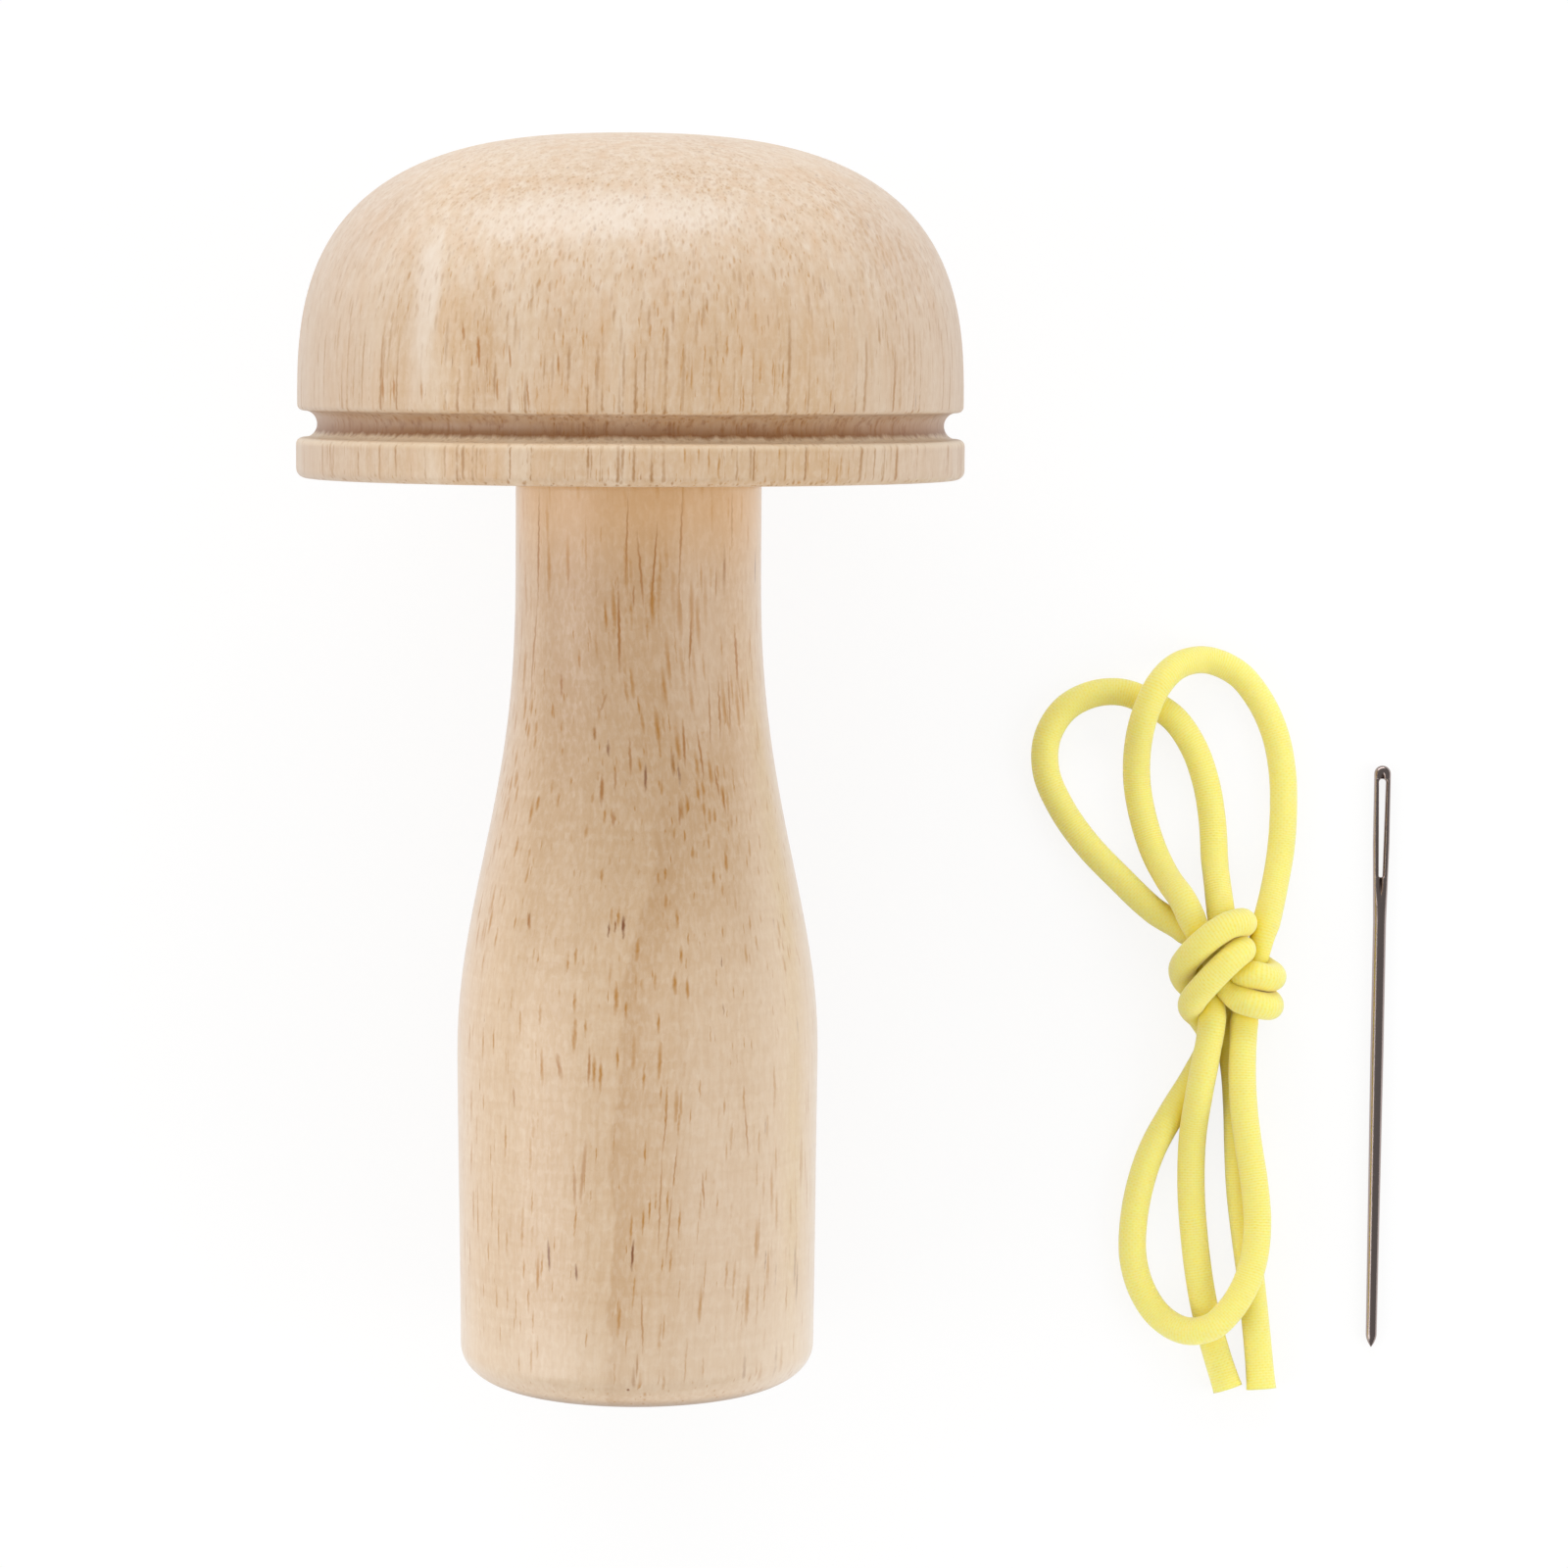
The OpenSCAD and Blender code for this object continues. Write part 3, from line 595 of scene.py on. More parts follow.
def marked(tree, place, marks, outline):
    """Long soft spots on the front. Each has its place across and up, its half length and half width in
    millimetres, its lean in degrees and its strength. Where spots meet, the stronger one counts."""
    most = 0.0
    for across_mm, height_mm, half_length, half_width, lean_angle, strength in marks:
        radius = np.interp(height_mm * MM, outline[:, 1], outline[:, 0])
        depth = -math.sqrt(radius**2 - (across_mm * MM) ** 2)
        spot = add(
            tree, "Mapping", {"vector_type": "TEXTURE"}, Vector=place,
            Location=(across_mm * MM, depth, height_mm * MM), Rotation=(0.0, math.radians(lean_angle), 0.0),
            Scale=(half_width * MM, SPOT_DEPTH, half_length * MM),
        )
        far = add(tree, "VectorMath", {"operation": "LENGTH"}, i0=spot.outputs[0]).outputs["Value"]
        most = calc(tree, "MAXIMUM", most, mapped(tree, far, 0.45, 1.15, strength, 0.0))
    return most


def upright_place(tree):
    """Object coordinates in the darner's own directions: across it, away from its front, up its axis."""
    spin = math.pi / 2 - math.atan2(axis_up[2], axis_up[1])
    foot_back = foot[1] * math.cos(spin) - foot[2] * math.sin(spin)
    foot_up = foot[1] * math.sin(spin) + foot[2] * math.cos(spin)
    place = add(tree, "TexCoord").outputs["Object"]
    turned_back = add(
        tree, "Mapping", Vector=place, Rotation=(spin, 0, 0), Location=(-foot[0], -foot_back, -foot_up)
    )
    return turned_back.outputs[0]


PALE = (0.750, 0.562, 0.372, 1)
TAN = (0.545, 0.330, 0.155, 1)
FIBRE = (0.50, 0.27, 0.09, 1)
PINK = (0.725, 0.545, 0.395, 1)
FLECK_PALE = (0.86, 0.74, 0.60, 1)
VESSEL = (0.47, 0.20, 0.012, 1)
DARK_VESSEL = (0.22, 0.060, 0.002, 1)
MARK = (0.41, 0.155, 0.008, 1)


def rubberwood(tree, place, part, pores, streaks, shade, crowding, ink):
    """Rubberwood, cut so that the grain runs up the turned axis. part moves the piece to its own place in
    the tree; pores and streaks are the cells of the short and the long vessels, shade is how much darker
    the wood is at each place, crowding how wide its vessels are there and ink how dark. Returns its colour,
    its relief and the place along the grain."""
    moved = vector(tree, "ADD", place, part)
    grain = shaken(tree, moved, 22.0, (1.6 * MM, 1.6 * MM, 0.0))
    ragged = shaken(tree, grain, 1500.0, (0.06 * MM, 0.06 * MM, 0.25 * MM))
    broad = figure(tree, grain, (70, 7), 1.0, 0.35, 0.68)
    bands = figure(tree, grain, (260, 10), 2.0, 0.35, 0.70)
    fibre = figure(tree, ragged, (2300, 130), 3.0, 0.30, 0.72)
    flecks = figure(tree, ragged, (2000, 900), 2.0, 0.42, 0.68)
    lathe = figure(tree, ragged, (90, 1500), 2.0, 0.30, 0.70)
    blush = figure(tree, moved, (45, 24), 1.0, 0.35, 0.65)
    tan = calc(tree, "MULTIPLY_ADD", broad, 0.12, calc(tree, "MULTIPLY_ADD", bands, 0.12, shade))
    colour = blend(tree, tan, PALE, TAN)
    layers = ((blush, 0.35, PINK), (fibre, 0.27, FIBRE), (flecks, 0.24, FLECK_PALE), (lathe, 0.18, FIBRE))
    for pattern, strength, tint in layers:
        colour = blend(tree, times(tree, pattern, strength), colour, tint)
    groups = mapped(tree, figure(tree, moved, (95, 42), 1.0, 0.36, 0.62), 0.0, 1.0, 0.55, 1.1)
    crowd = times(tree, groups, crowding)
    short, number = vessels(tree, ragged, *pores, crowd)
    long = vessels(tree, ragged, *streaks, crowd)[0]
    short_tint = blend(tree, mapped(tree, number, 0.95, 0.99), VESSEL, DARK_VESSEL)
    colour = blend(tree, times(tree, long, 0.8 * ink), colour, VESSEL)
    colour = blend(tree, times(tree, short, ink), colour, short_tint)
    hollow = calc(tree, "MAXIMUM", short, times(tree, long, 0.5))
    relief = calc(tree, "MULTIPLY_ADD", fibre, 0.14, times(tree, hollow, -0.25))
    return colour, calc(tree, "MULTIPLY_ADD", lathe, 0.12, relief), ragged


def waxed(tree, surface, colour, relief, gloss, coat, coat_gloss, bloom):
    """Puts colour and relief on the shader, under a thin coat of wax that shines softly at the edges."""
    raised(tree, surface, relief, strength=0.45, depth=0.06 * MM)
    finished(
        tree, surface, Base_Color=colour, Roughness=gloss, Coat_Weight=coat, Coat_Roughness=coat_gloss,
        Sheen_Weight=bloom, Sheen_Roughness=0.3,
    )


# The dark edge of a growth ring runs up the front of the grip and moves to the right over the swell.
RING_START = -2.7 * MM
RING_LEAN = 0.04
RING_SHIFT = 3.2 * MM
RING_WAVE = 1.6 * MM
RING_FADE = 5.5 * MM
# Vessels: how far apart their cells lie across and along the grain, how wide the narrowest and the
# widest are as parts of a cell, and the share of them that is open.
HANDLE_PORES = (0.66 * MM, 6.5 * MM, 0.18, 0.48, 0.72)
HANDLE_STREAKS = (0.75 * MM, 17.0 * MM, 0.12, 0.25, 0.7)
PATCH_PALE = (0.82, 0.70, 0.57, 1)
PAINTED_RIGHT_SHEEN = (0.80, 0.70, 0.58, 1)
PAINTED_FOOT_LIGHT = (0.88, 0.77, 0.63, 1)
PAINTED_FOOT_SHADOW = (0.20, 0.11, 0.06, 1)
PAINTED_BOUNCE_UNDER_RIM = (0.86, 0.54, 0.25, 1)
LEFT_PATCHES = [(-6.8, 82.0, 18.0, 4.0, 0, 0.38), (-8.0, 24.0, 22.0, 4.0, 0, 0.18)]
RIGHT_PATCHES = [(6.5, 80.0, 14.0, 4.5, 0, 0.22), (8.0, 24.0, 26.0, 4.0, 0, 0.18)]
SPOT_SHAKE = (0.05 * MM, 0.0, 0.3 * MM)
# Marks that stand out in the photograph, as the places and sizes in millimetres that marked takes. A
# scratch script worked them out from positions in the picture, and the head's marks further down too.
HANDLE_MARKS = [
    (-10.1, 88.9, 6.1, 0.11, 0.7, 0.80), (-10.6, 78.3, 5.2, 0.11, 4.1, 0.65),
    (-6.9, 86.5, 2.1, 0.10, 0, 0.40), (-0.8, 90.3, 4.3, 0.11, 1.7, 0.60),
    (0.6, 86.8, 3.7, 0.15, -5.2, 0.70), (-0.1, 84.2, 1.2, 0.13, 0, 0.65), (2.0, 87.5, 4.2, 0.13, 4.4, 0.80),
    (4.7, 89.9, 5.3, 0.12, 2.1, 0.60), (9.9, 91.8, 3.3, 0.10, 0, 0.40), (8.3, 85.4, 1.7, 0.11, 1.2, 0.50),
    (-1.6, 80.7, 4.7, 0.18, -1.0, 0.85), (5.7, 79.3, 2.7, 0.14, 2.2, 0.80),
    (10.4, 77.8, 3.2, 0.14, -3.6, 0.80), (-7.6, 75.0, 1.2, 0.18, -0.8, 0.85),
    (-3.2, 73.2, 1.1, 0.18, 21, 0.50), (7.7, 72.0, 3.6, 0.11, -2.1, 0.60),
    (8.7, 72.4, 3.2, 0.12, -2.3, 0.65), (9.7, 73.2, 3.4, 0.11, -2.5, 0.60),
    (5.1, 69.1, 2.5, 0.15, -3.1, 0.80), (6.8, 68.0, 2.8, 0.13, -8.5, 0.75),
    (-0.4, 67.7, 2.1, 0.15, -2.6, 0.65), (-3.3, 64.4, 1.7, 0.23, 0.9, 0.85),
    (-1.9, 65.5, 1.3, 0.15, 1.2, 0.55), (-2.1, 61.4, 0.9, 0.20, -3.7, 0.65),
    (4.7, 62.0, 1.2, 0.16, -3.3, 0.65), (8.5, 65.0, 1.7, 0.13, -8.7, 0.70),
    (9.2, 63.2, 1.3, 0.12, -8.5, 0.65), (-10.8, 50.6, 0.9, 0.17, -7.6, 0.65),
    (-7.5, 36.2, 1.5, 0.28, -10.9, 0.60), (-4.4, 36.4, 2.0, 0.17, 1.3, 0.80),
    (-12.3, 32.6, 1.0, 0.15, -2.5, 0.60), (3.4, 30.1, 2.9, 0.10, 6.0, 0.60),
    (2.9, 22.4, 5.3, 0.10, 2.3, 0.60), (4.4, 25.8, 2.4, 0.10, 6.2, 0.60), (3.8, 19.8, 3.8, 0.10, 5.1, 0.60),
    (11.7, 29.3, 2.7, 0.11, -3.9, 0.55), (7.3, 23.4, 1.9, 0.13, -3.3, 0.65),
    (-5.0, 25.5, 3.5, 0.23, 5.0, 0.55), (-5.9, 23.9, 2.0, 0.20, -0.7, 0.55),
    (1.1, 9.8, 3.2, 0.11, -1.0, 0.60),
]
HANDLE_DARK_MARKS = [
    (1.2, 65.7, 1.5, 0.18, -0.4, 0.75), (-0.95, 50.8, 1.2, 0.21, -0.5, 0.95),
    (0.1, 17.0, 1.6, 0.17, 2.7, 0.90), (-8.6, 16.5, 1.6, 0.16, -2.7, 0.80),
    (-5.7, 14.9, 0.9, 0.15, -3.2, 0.75), (-0.35, 2.8, 0.34, 0.20, 0, 0.95),
]

material, tree, surface = shader("handle_wood")
place = upright_place(tree)
spot = add(tree, "SeparateXYZ", i0=place)
height = spot.outputs[2]
shifting = mapped(tree, height, 43 * MM, 60 * MM, smooth=True)
ring_place = calc(tree, "MULTIPLY_ADD", height, RING_LEAN, RING_START)
ring_place = calc(tree, "MULTIPLY_ADD", shifting, RING_SHIFT, ring_place)
wave = figure(tree, place, (160, 160), 2.0, 0.3, 0.7)
from_ring = calc(tree, "SUBTRACT", calc(tree, "MULTIPLY_ADD", wave, RING_WAVE, spot.outputs[0]), ring_place)
late_wood = mapped(tree, from_ring, 0.35 * MM, 1.0 * MM, smooth=True)
late_wood = times(tree, late_wood, mapped(tree, from_ring, 0.9 * MM, RING_FADE, 1.0, 0.0))
late_wood = times(tree, late_wood, mapped(tree, height, 52 * MM, 66 * MM, 1.0, 0.0, smooth=True))
# Painted shadow: the swell and the neck are made darker where the head's shadow falls on them.
painted_head_shadow = mapped(tree, height, 40 * MM, 78 * MM, 0.12, 0.56, smooth=True)
tone_and_painted_shadow = calc(tree, "ADD", marked(tree, place, LEFT_PATCHES, handle_outline), painted_head_shadow)
swelling = band(tree, height, (42 * MM, 52 * MM), (64 * MM, 72 * MM))
colour, relief = rubberwood(
    tree, place, part=(0.0, 0.0, 0.0), pores=HANDLE_PORES, streaks=HANDLE_STREAKS,
    shade=calc(tree, "MULTIPLY_ADD", late_wood, 0.52, tone_and_painted_shadow),
    crowding=calc(tree, "MULTIPLY_ADD", swelling, 0.22, mapped(tree, height, 64 * MM, 74 * MM, 0.90, 1.12)),
    ink=0.92,
)[:2]
spots = shaken(tree, place, 1500.0, SPOT_SHAKE)
for amount, tint in (
    # Paler patches on the right of the neck and the grip.
    (marked(tree, place, RIGHT_PATCHES, handle_outline), PATCH_PALE),
    # Painted sheen: the handle's right side is made paler, for a lamp's shine on it.
    (mapped(tree, spot.outputs[0], 8 * MM, 15 * MM, 0.0, 0.28, smooth=True), PAINTED_RIGHT_SHEEN),
    # Painted light: the low grip and the top of the foot's rounding are made paler.
    (band(tree, height, (1.2 * MM, 3.0 * MM), (6 * MM, 12 * MM), 0.20), PAINTED_FOOT_LIGHT),
    # Painted shadow: a thin dark ring round the very edge of the foot's end.
    (band(tree, height, (0.02 * MM, 0.20 * MM), (0.3 * MM, 1.5 * MM), 0.75, 0.10), PAINTED_FOOT_SHADOW),
    # Painted light: warm light bounced from the head, painted on the top of the neck.
    (mapped(tree, height, 84 * MM, 96 * MM, 0.0, 0.45, smooth=True), PAINTED_BOUNCE_UNDER_RIM),
    (marked(tree, spots, HANDLE_MARKS, handle_outline), MARK),
    (marked(tree, spots, HANDLE_DARK_MARKS, handle_outline), DARK_VESSEL),
):
    colour = blend(tree, amount, colour, tint)
wax_left = mapped(tree, height, 0.8 * MM, 2.4 * MM)
waxed(tree, surface, colour, relief, gloss=0.46, coat=wax_left, coat_gloss=0.30, bloom=0.20)
handle.data.materials.append(material)
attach(handle, "darner")
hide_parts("handle")

# Head
# Turned from a second billet of rubberwood, end grain up: a dome, a groove for the elastic and a rim.
# A blind socket in its flat underside takes the handle's tenon.

HEAD_OFF_CENTRE = -0.8 * MM
RIM_RADIUS = 35.0 * MM
DOME_RADIUS = 34.85 * MM
DOME_HEIGHT = 28.8 * MM
CROWN_FULLNESS = 2.7
SIDE_FULLNESS = 2.9
DOME_EDGE_ROUND = 0.6 * MM
RIM_THICKNESS = 4.2 * MM
RIM_TOP_ROUND = 0.7 * MM
RIM_BOTTOM_ROUND = 1.0 * MM
GROOVE_WIDTH = 2.8 * MM
GROOVE_DEPTH = 2.2 * MM
SOCKET_RADIUS = 7.05 * MM
SOCKET_DEPTH = 17.0 * MM
SOCKET_COUNTERSINK = 0.6 * MM

seat = HANDLE_HEIGHT
rim_top = seat + RIM_THICKNESS
dome_base = rim_top + GROOVE_WIDTH
groove_half = GROOVE_WIDTH / 2
groove_floor = RIM_RADIUS - GROOVE_DEPTH
turn_up = np.radians(np.linspace(0, 90, 120))
dome = np.stack([
    DOME_RADIUS * np.cos(turn_up) ** (2 / CROWN_FULLNESS),
    dome_base + DOME_HEIGHT * np.sin(turn_up) ** (2 / SIDE_FULLNESS),
], axis=1)
dome = dome[dome[:, 1] > dome_base + 2 * DOME_EDGE_ROUND]
dome[-1] = (0, dome_base + DOME_HEIGHT)
head_outline = np.vstack([
    [[0, seat + SOCKET_DEPTH], [SOCKET_RADIUS, seat + SOCKET_DEPTH]],
    straight((SOCKET_RADIUS, seat + SOCKET_DEPTH), (SOCKET_RADIUS, seat + SOCKET_COUNTERSINK), 6),
    [[SOCKET_RADIUS, seat + SOCKET_COUNTERSINK], [SOCKET_RADIUS + SOCKET_COUNTERSINK, seat]],
    straight((SOCKET_RADIUS + SOCKET_COUNTERSINK, seat), (RIM_RADIUS - RIM_BOTTOM_ROUND, seat), 14),
    round_edge((RIM_RADIUS - RIM_BOTTOM_ROUND, seat + RIM_BOTTOM_ROUND), RIM_BOTTOM_ROUND, -90, 0, 9),
    straight((RIM_RADIUS, seat + RIM_BOTTOM_ROUND), (RIM_RADIUS, rim_top - RIM_TOP_ROUND), 10),
    round_edge((RIM_RADIUS - RIM_TOP_ROUND, rim_top - RIM_TOP_ROUND), RIM_TOP_ROUND, 0, 90, 10),
    round_edge((groove_floor + groove_half, rim_top + groove_half), groove_half, 270, 90, 24),
    round_edge((DOME_RADIUS - DOME_EDGE_ROUND, dome_base + DOME_EDGE_ROUND), DOME_EDGE_ROUND, -90, 0, 10),
    dome,
])

NICK_DEPTH = 0.05 * MM
NICK_REACH = 0.45 * MM
chance = np.random.default_rng(7)
nick_waves = np.arange(18, 150)
nick_sizes = chance.normal(0, 1, (2, len(nick_waves))) / np.sqrt(len(nick_waves))
nick_starts = chance.uniform(0, 2 * np.pi, (2, len(nick_waves)))


def worked_head(turn, height, radius):
    """The groove's two arrises are a little ragged, where the tool crossed the open end of the pores:
    a random sum of waves round the head, strongest at each arris and nearly gone 0.9 mm from it."""
    nicks = [
        (size[:, None] * np.sin(nick_waves[:, None] * turn + start[:, None])).sum(axis=0)
        for size, start in zip(nick_sizes, nick_starts)
    ]
    at_rim = np.exp(-((height - rim_top) / NICK_REACH) ** 2)
    at_dome = np.exp(-((height - dome_base) / NICK_REACH) ** 2)
    outside = radius > 0.9 * groove_floor
    ragged = -NICK_DEPTH * (np.abs(nicks[0])[None] * at_rim + np.abs(nicks[1])[None] * at_dome)
    return ragged * outside + SANDING * np.sin(2 * turn + 200 * height) * np.sin(180 * height)


head = turned("turned_head", head_outline, worked_head, HEAD_OFF_CENTRE)

HEAD_PORES = (0.48 * MM, 5.5 * MM, 0.20, 0.38, 0.85)
HEAD_STREAKS = (0.40 * MM, 14.0 * MM, 0.19, 0.30, 0.95)
HEAD_LINES = (0.58 * MM, 36 * MM, 0.20, 0.44, 0.95)
BAND_PALE = (0.80, 0.68, 0.53, 1)
SMUDGE_BROWN = (0.66, 0.40, 0.20, 1)
CROWN_PALE_AND_HIGHLIGHT = (0.88, 0.80, 0.71, 1)
PAINTED_SIDE_SHADE = (0.48, 0.385, 0.32, 1)
LINE_BROWN = (0.37, 0.165, 0.035, 1)
PAINTED_ARRIS_HIGHLIGHT = (0.86, 0.72, 0.52, 1)
GROOVE_BROWN_AND_SHADE = (0.27, 0.10, 0.018, 1)
TONE_AND_SHADE_PATCHES = [
    (-26.0, 121.5, 6.0, 7.0, 0, 0.62), (25.5, 121.0, 6.0, 7.0, 0, 0.60), (-6.0, 128.0, 2.5, 7.0, 0, 0.12),
    (-12.5, 108.0, 6.0, 4.0, 0, 0.26),
]
PALE_STREAKS = [(-19.9, 114.5, 11.0, 1.5, 7, 0.38), (-5.0, 122.8, 3.0, 21.0, 0, 0.30)]
HEAD_MARKS = [
    (-14.75, 109.3, 1.7, 0.19, -2.2, 0.90), (-16.3, 111.1, 0.9, 0.16, -3.6, 0.75),
    (-24.7, 105.5, 1.4, 0.14, -2.1, 0.65), (-23.5, 105.5, 1.4, 0.14, -2.0, 0.65),
    (-20.6, 105.3, 1.2, 0.15, -0.9, 0.55), (-11.6, 108.6, 1.1, 0.14, -2.6, 0.70),
    (-12.9, 105.4, 1.2, 0.14, -1.4, 0.65), (-9.8, 105.0, 1.6, 0.12, -3.5, 0.70),
    (-6.8, 108.0, 1.2, 0.14, -2.5, 0.65),
]


def on_crown(tree, crown, pattern, low, high):
    """A pattern, times low on the dome's side and times high on its crown."""
    return times(tree, pattern, mapped(tree, crown, 0.0, 1.0, low, high))


front_outline = head_outline[-len(dome) - 1:]
material, tree, surface = shader("head_wood")
place = upright_place(tree)
spot = add(tree, "SeparateXYZ", i0=place)
height = spot.outputs[2]
centred = add(
    tree, "VectorMath", {"operation": "MULTIPLY_ADD"}, i0=place, i1=(1, 1, 0), i2=(-HEAD_OFF_CENTRE, 0, 0)
)
radius = add(tree, "VectorMath", {"operation": "LENGTH"}, i0=centred.outputs[0]).outputs["Value"]
crown = mapped(tree, height, 109 * MM, 123 * MM, smooth=True)
# Darker patches: the wood's tone, and at the crown's two sides also painted shade where light falls off.
tone_and_shade_patch = marked(tree, place, TONE_AND_SHADE_PATCHES, front_outline)
from_left = mapped(tree, spot.outputs[0], -22 * MM, 12 * MM, 0.72, 1.0)
# Painted highlight: the crown is made lighter, partly for its end grain, partly for the lamp's shine.
colour, relief, ragged = rubberwood(
    tree, place, part=(0.31, 0.17, 0.05), pores=HEAD_PORES, streaks=HEAD_STREAKS,
    shade=calc(tree, "ADD", calc(tree, "MULTIPLY_ADD", crown, -0.10, 0.40), tone_and_shade_patch),
    crowding=calc(tree, "MULTIPLY_ADD", crown, 0.42, from_left), ink=0.86,
)
streaked = shaken(tree, place, 300.0, (0.4 * MM, 0.0, 0.4 * MM))
pale_streak = marked(tree, streaked, PALE_STREAKS, front_outline)
lines = vessels(tree, ragged, *HEAD_LINES, 1.0)[0]
torn = calc(tree, "MULTIPLY_ADD", figure(tree, ragged, (1300, 300), 2.0, 0.3, 0.7), 0.35 * MM, height)
groove_from = (rim_top + 0.50 * MM, rim_top + 0.95 * MM)
groove_to = (dome_base - 0.05 * MM, dome_base + 0.30 * MM)
sunk = mapped(tree, radius, RIM_RADIUS - 0.20 * MM, RIM_RADIUS - 0.55 * MM)
in_groove = times(tree, band(tree, torn, groove_from, groove_to), sunk)
# The groove is browner for its torn end grain, with painted shade strongest next to the rim.
painted_groove_shade = mapped(tree, height, rim_top + 0.8 * MM, dome_base - 0.3 * MM, 0.88, 0.36)
grit = figure(tree, ragged, (1300, 700), 3.0, 0.52, 0.68)
arris_from = (rim_top - 0.8 * MM, rim_top - 0.2 * MM)
arris_to = (rim_top + 0.5 * MM, rim_top + 0.8 * MM)
for amount, tint in (
    (on_crown(tree, crown, figure(tree, place, (200, 16), 2.0, 0.46, 0.68), 0.30, 0.10), BAND_PALE),
    (on_crown(tree, crown, figure(tree, ragged, (1000, 200), 3.0, 0.38, 0.64), 0.12, 0.34), CROWN_PALE_AND_HIGHLIGHT),
    (on_crown(tree, crown, figure(tree, ragged, (420, 120), 3.0, 0.50, 0.68), 0.22, 0.42), SMUDGE_BROWN),
    # The crown made paler: partly its end grain, partly painted highlight. The pale streaks are the wood's.
    (calc(tree, "MULTIPLY_ADD", crown, 0.18, pale_streak), CROWN_PALE_AND_HIGHLIGHT),
    # Painted shade: the dome is made darker and greyer towards both sides.
    (mapped(tree, calc(tree, "ABSOLUTE", spot.outputs[0]), 18 * MM, 34 * MM, 0.0, 0.48), PAINTED_SIDE_SHADE),
    (times(tree, lines, mapped(tree, height, dome_base, dome_base + 16 * MM, 0.80, 0.25)), LINE_BROWN),
    # Painted highlight: a pale line along the rim's top arris, where it catches the light.
    (band(tree, height, arris_from, arris_to, 0.42), PAINTED_ARRIS_HIGHLIGHT),
    (marked(tree, shaken(tree, place, 1500.0, SPOT_SHAKE), HEAD_MARKS, front_outline), MARK),
    (times(tree, in_groove, painted_groove_shade), GROOVE_BROWN_AND_SHADE),
    (times(tree, times(tree, in_groove, grit), 0.40), DARK_VESSEL),
):
    colour = blend(tree, amount, colour, tint)
waxed(tree, surface, colour, relief, gloss=0.52, coat=0.40, coat_gloss=0.40, bloom=0.05)
head.data.materials.append(material)
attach(head, "darner")
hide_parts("head")

# Needle
# A darning needle of nickel-plated steel: its head is rolled flat and pierced by a long eye.
# It lies loose on the table, to the right of the elastic.

NEEDLE_LENGTH = 64.5 * MM
SHAFT_RADIUS = 0.725 * MM
POINT_RADIUS = 0.6 * MM
POINT_LENGTH = 1.5 * MM
TAPER_END = 32.25 * MM
HEAD_START = 47.0 * MM
HEAD_HALF = 0.925 * MM
HEAD_FULL = 55.7 * MM
HEAD_THICK = 0.52 * MM
EYE_FROM = 52.0 * MM
EYE_TO = 63.0 * MM
EYE_HALF_LOW = 0.20 * MM
EYE_HALF_HIGH = 0.375 * MM
GUTTER_FROM = 48.6 * MM
GUTTER_TO = 64.15 * MM
EYE_LOW_ROUND = 0.6 * MM
EYE_HIGH_ROUND = 0.8 * MM
TOP_ROUND = 0.6 * MM
TOP_TIP = 0.3 * MM
NEEDLE_PLACE = np.array([80.5, 3.1, 0.725]) * MM
NEEDLE_LEAN = math.radians(1.5)
HALF_SIDES = 33


def smooth_step(value, start, end):
    """0 before start, 1 after end, and an even curve between them."""
    t = np.clip((value - start) / (end - start), 0, 1)
    return t * t * (3 - 2 * t)


def bar(length):
    """The right half of the needle at each length. Its section is an arc of an ellipse that goes on past
    the top to an opening angle: 90 degrees on the round shaft, 180 where it is one bar beside the eye.
    outer is the half width, inner the half width of the eye, and half is the half thickness."""
    widths = [POINT_RADIUS, SHAFT_RADIUS, SHAFT_RADIUS, HEAD_HALF, HEAD_HALF]
    outer = np.interp(length, [0, TAPER_END, HEAD_START, HEAD_FULL, NEEDLE_LENGTH], widths)
    point = np.clip(length / POINT_LENGTH, 0, 1)
    outer = outer * (1 - (1 - point) ** 2)
    flat = smooth_step(length, HEAD_START, EYE_FROM)
    half = outer * (1 - flat) + HEAD_THICK * flat
    top = np.clip((length - (NEEDLE_LENGTH - HEAD_HALF)) / HEAD_HALF, 0, 1)
    outer = outer * np.sqrt(1 - top**2)
    half = half * np.sqrt(1 - np.clip((length - (NEEDLE_LENGTH - TOP_ROUND)) / TOP_ROUND, 0, 1) ** 2)
    width = np.interp(length, [EYE_FROM, EYE_TO], [EYE_HALF_LOW, EYE_HALF_HIGH])
    low = np.clip((length - EYE_FROM) / EYE_HALF_LOW, 0, 1)
    high = np.clip((EYE_TO - length) / EYE_HALF_HIGH, 0, 1)
    inner = width * np.sqrt(1 - (1 - low) ** 2) * np.sqrt(1 - (1 - high) ** 2)
    inner = np.where((length > EYE_FROM) & (length < EYE_TO), inner, 0)
    gutter = smooth_step(length, GUTTER_FROM, EYE_FROM) * (1 - smooth_step(length, EYE_TO, GUTTER_TO))
    opening = np.radians(90) * (1 + gutter)
    return outer, inner, half, opening


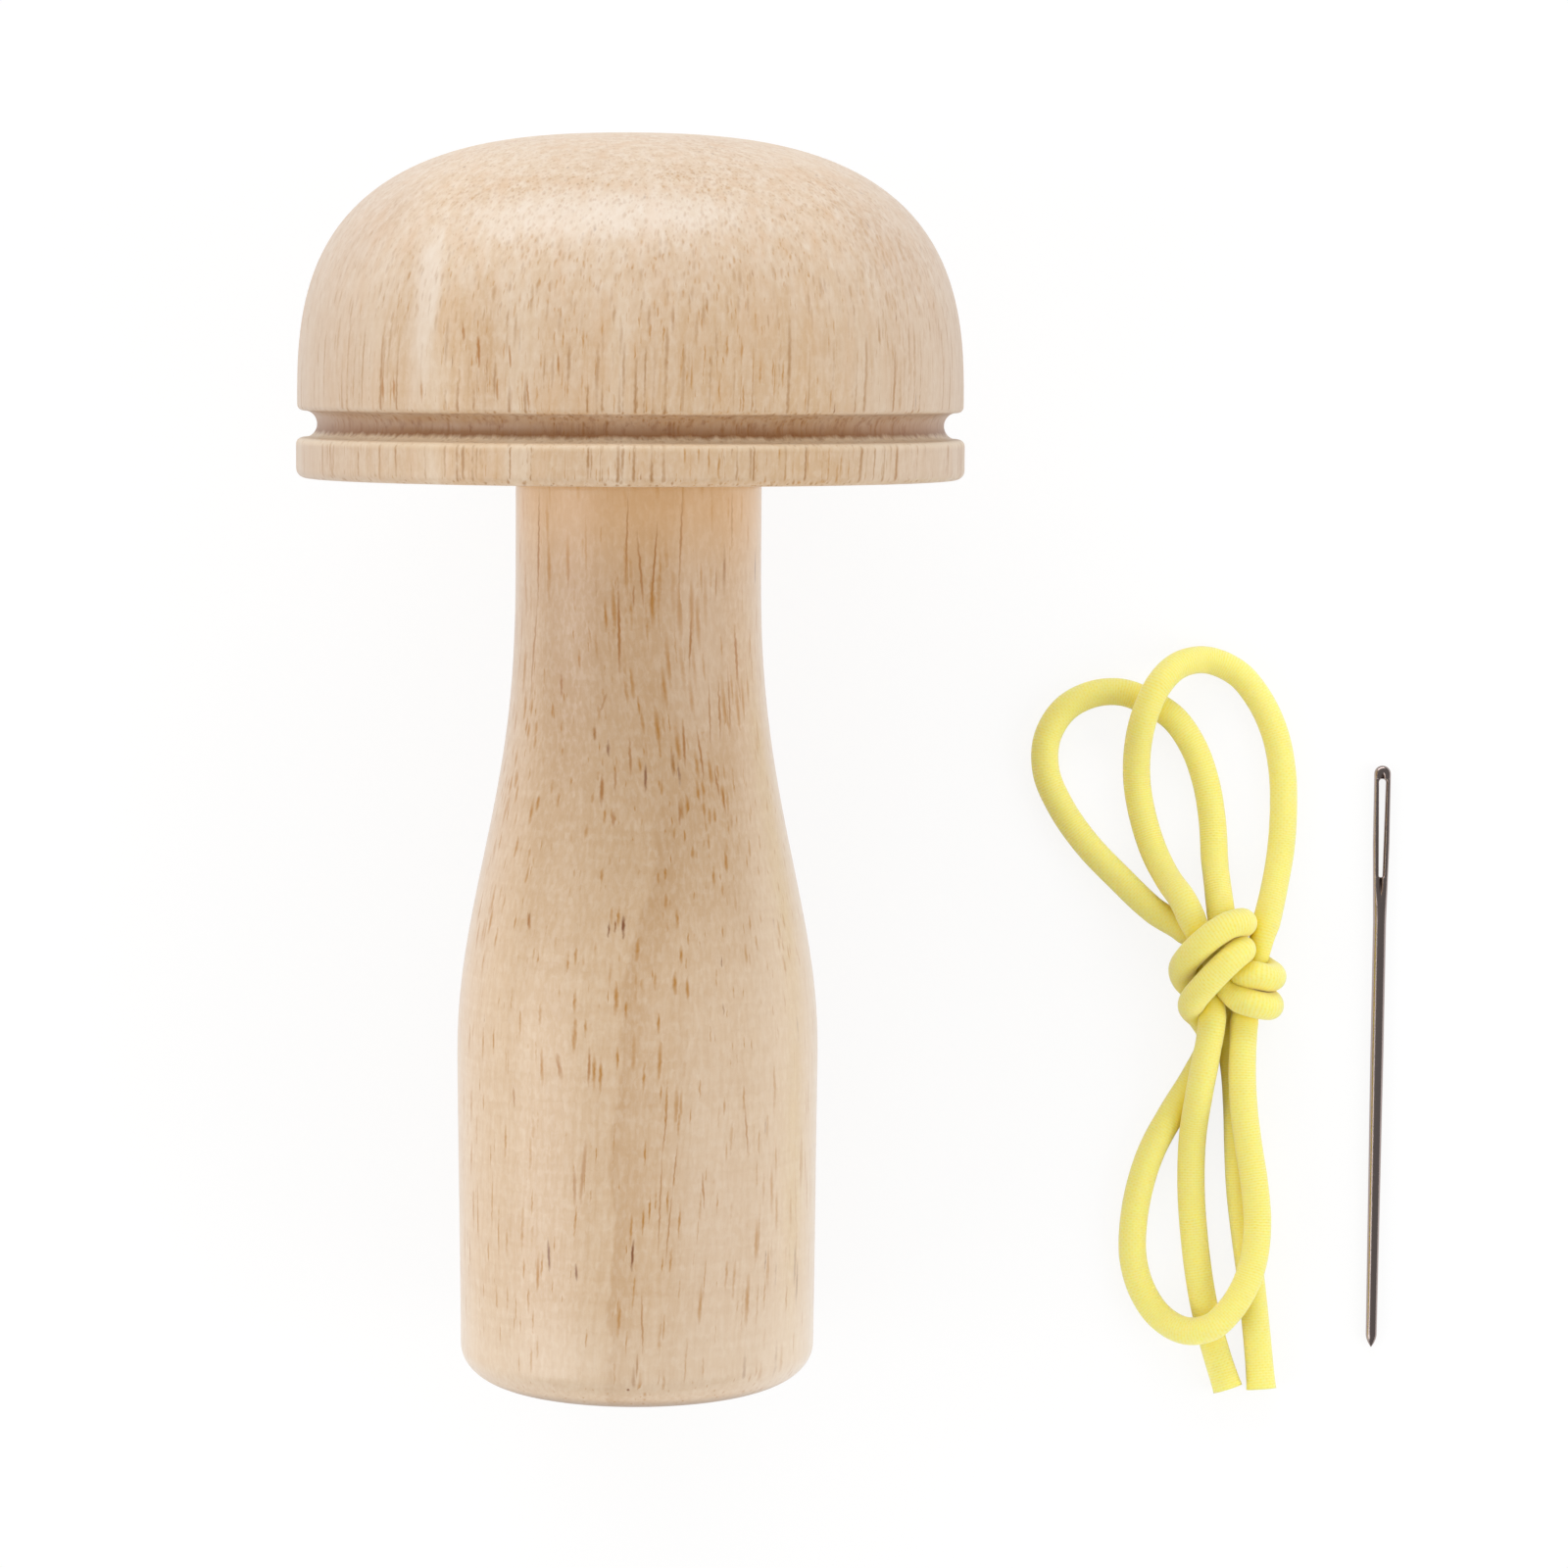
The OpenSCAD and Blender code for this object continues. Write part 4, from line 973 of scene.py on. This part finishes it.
needle_rows = np.unique(np.concatenate([
    np.linspace(0, POINT_LENGTH, 14),
    np.linspace(POINT_LENGTH, HEAD_START, 60),
    np.linspace(HEAD_START, EYE_FROM, 40),
    EYE_FROM + np.linspace(0, 1, 12) ** 2 * EYE_LOW_ROUND,
    np.linspace(EYE_FROM + EYE_LOW_ROUND, EYE_TO - EYE_HIGH_ROUND, 30),
    EYE_TO - np.linspace(0, 1, 14) ** 2 * EYE_HIGH_ROUND,
    np.linspace(EYE_TO, NEEDLE_LENGTH - TOP_TIP, 18),
    NEEDLE_LENGTH - np.linspace(0, 1, 12) ** 2 * TOP_TIP,
]))
outer, inner, half, opening = [value[:, None] for value in bar(needle_rows)]
sweep = np.linspace(-1, 1, HALF_SIDES)[None, :] * opening
long_axis = (outer - inner) / (1 - np.cos(opening))
sideways = outer - long_axis + long_axis * np.cos(sweep)
sideways[:, 0] = sideways[:, -1] = inner[:, 0]
upward = half * np.sin(sweep)
closed = opening[:, 0] > np.radians(179.99)
upward[closed, 0] = upward[closed, -1] = 0
lengthwise = np.repeat(needle_rows[:, None], HALF_SIDES, axis=1)
right_half = np.stack([sideways, lengthwise, upward], axis=-1).reshape(-1, 3)
left_half = right_half * np.array([-1, 1, 1])
flat_points = np.vstack([right_half, left_half])
turn_needle = np.array([
    [math.cos(NEEDLE_LEAN), math.sin(NEEDLE_LEAN), 0],
    [-math.sin(NEEDLE_LEAN), math.cos(NEEDLE_LEAN), 0],
    [0, 0, 1],
])
points = flat_points @ turn_needle.T + NEEDLE_PLACE
i, j = np.meshgrid(np.arange(len(needle_rows) - 1), np.arange(HALF_SIDES - 1), indexing="ij")
here = i * HALF_SIDES + j
square = [here, here + HALF_SIDES, here + HALF_SIDES + 1, here + 1]
right_faces = np.stack(square, axis=-1).reshape(-1, 4)
left_faces = right_faces[:, ::-1] + len(right_half)
needle = made("needle", points, np.vstack([right_faces, left_faces]))
shell = bmesh.new()
shell.from_mesh(needle.data)
bmesh.ops.remove_doubles(shell, verts=shell.verts, dist=1e-7)
shell.to_mesh(needle.data)
shell.free()

NICKEL = (0.42, 0.345, 0.325, 1)

material, tree, surface = shader("nickel_plate")
drawn = figure(tree, add(tree, "TexCoord").outputs["Object"], (2500, 2500), 2.0, 0.3, 0.7)
raised(tree, surface, drawn, strength=0.15, depth=0.02 * MM)
finished(tree, surface, Metallic=1.0, Base_Color=NICKEL, Roughness=0.24)
needle.data.materials.append(material)
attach(needle, "needle")
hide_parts("darning_needle")
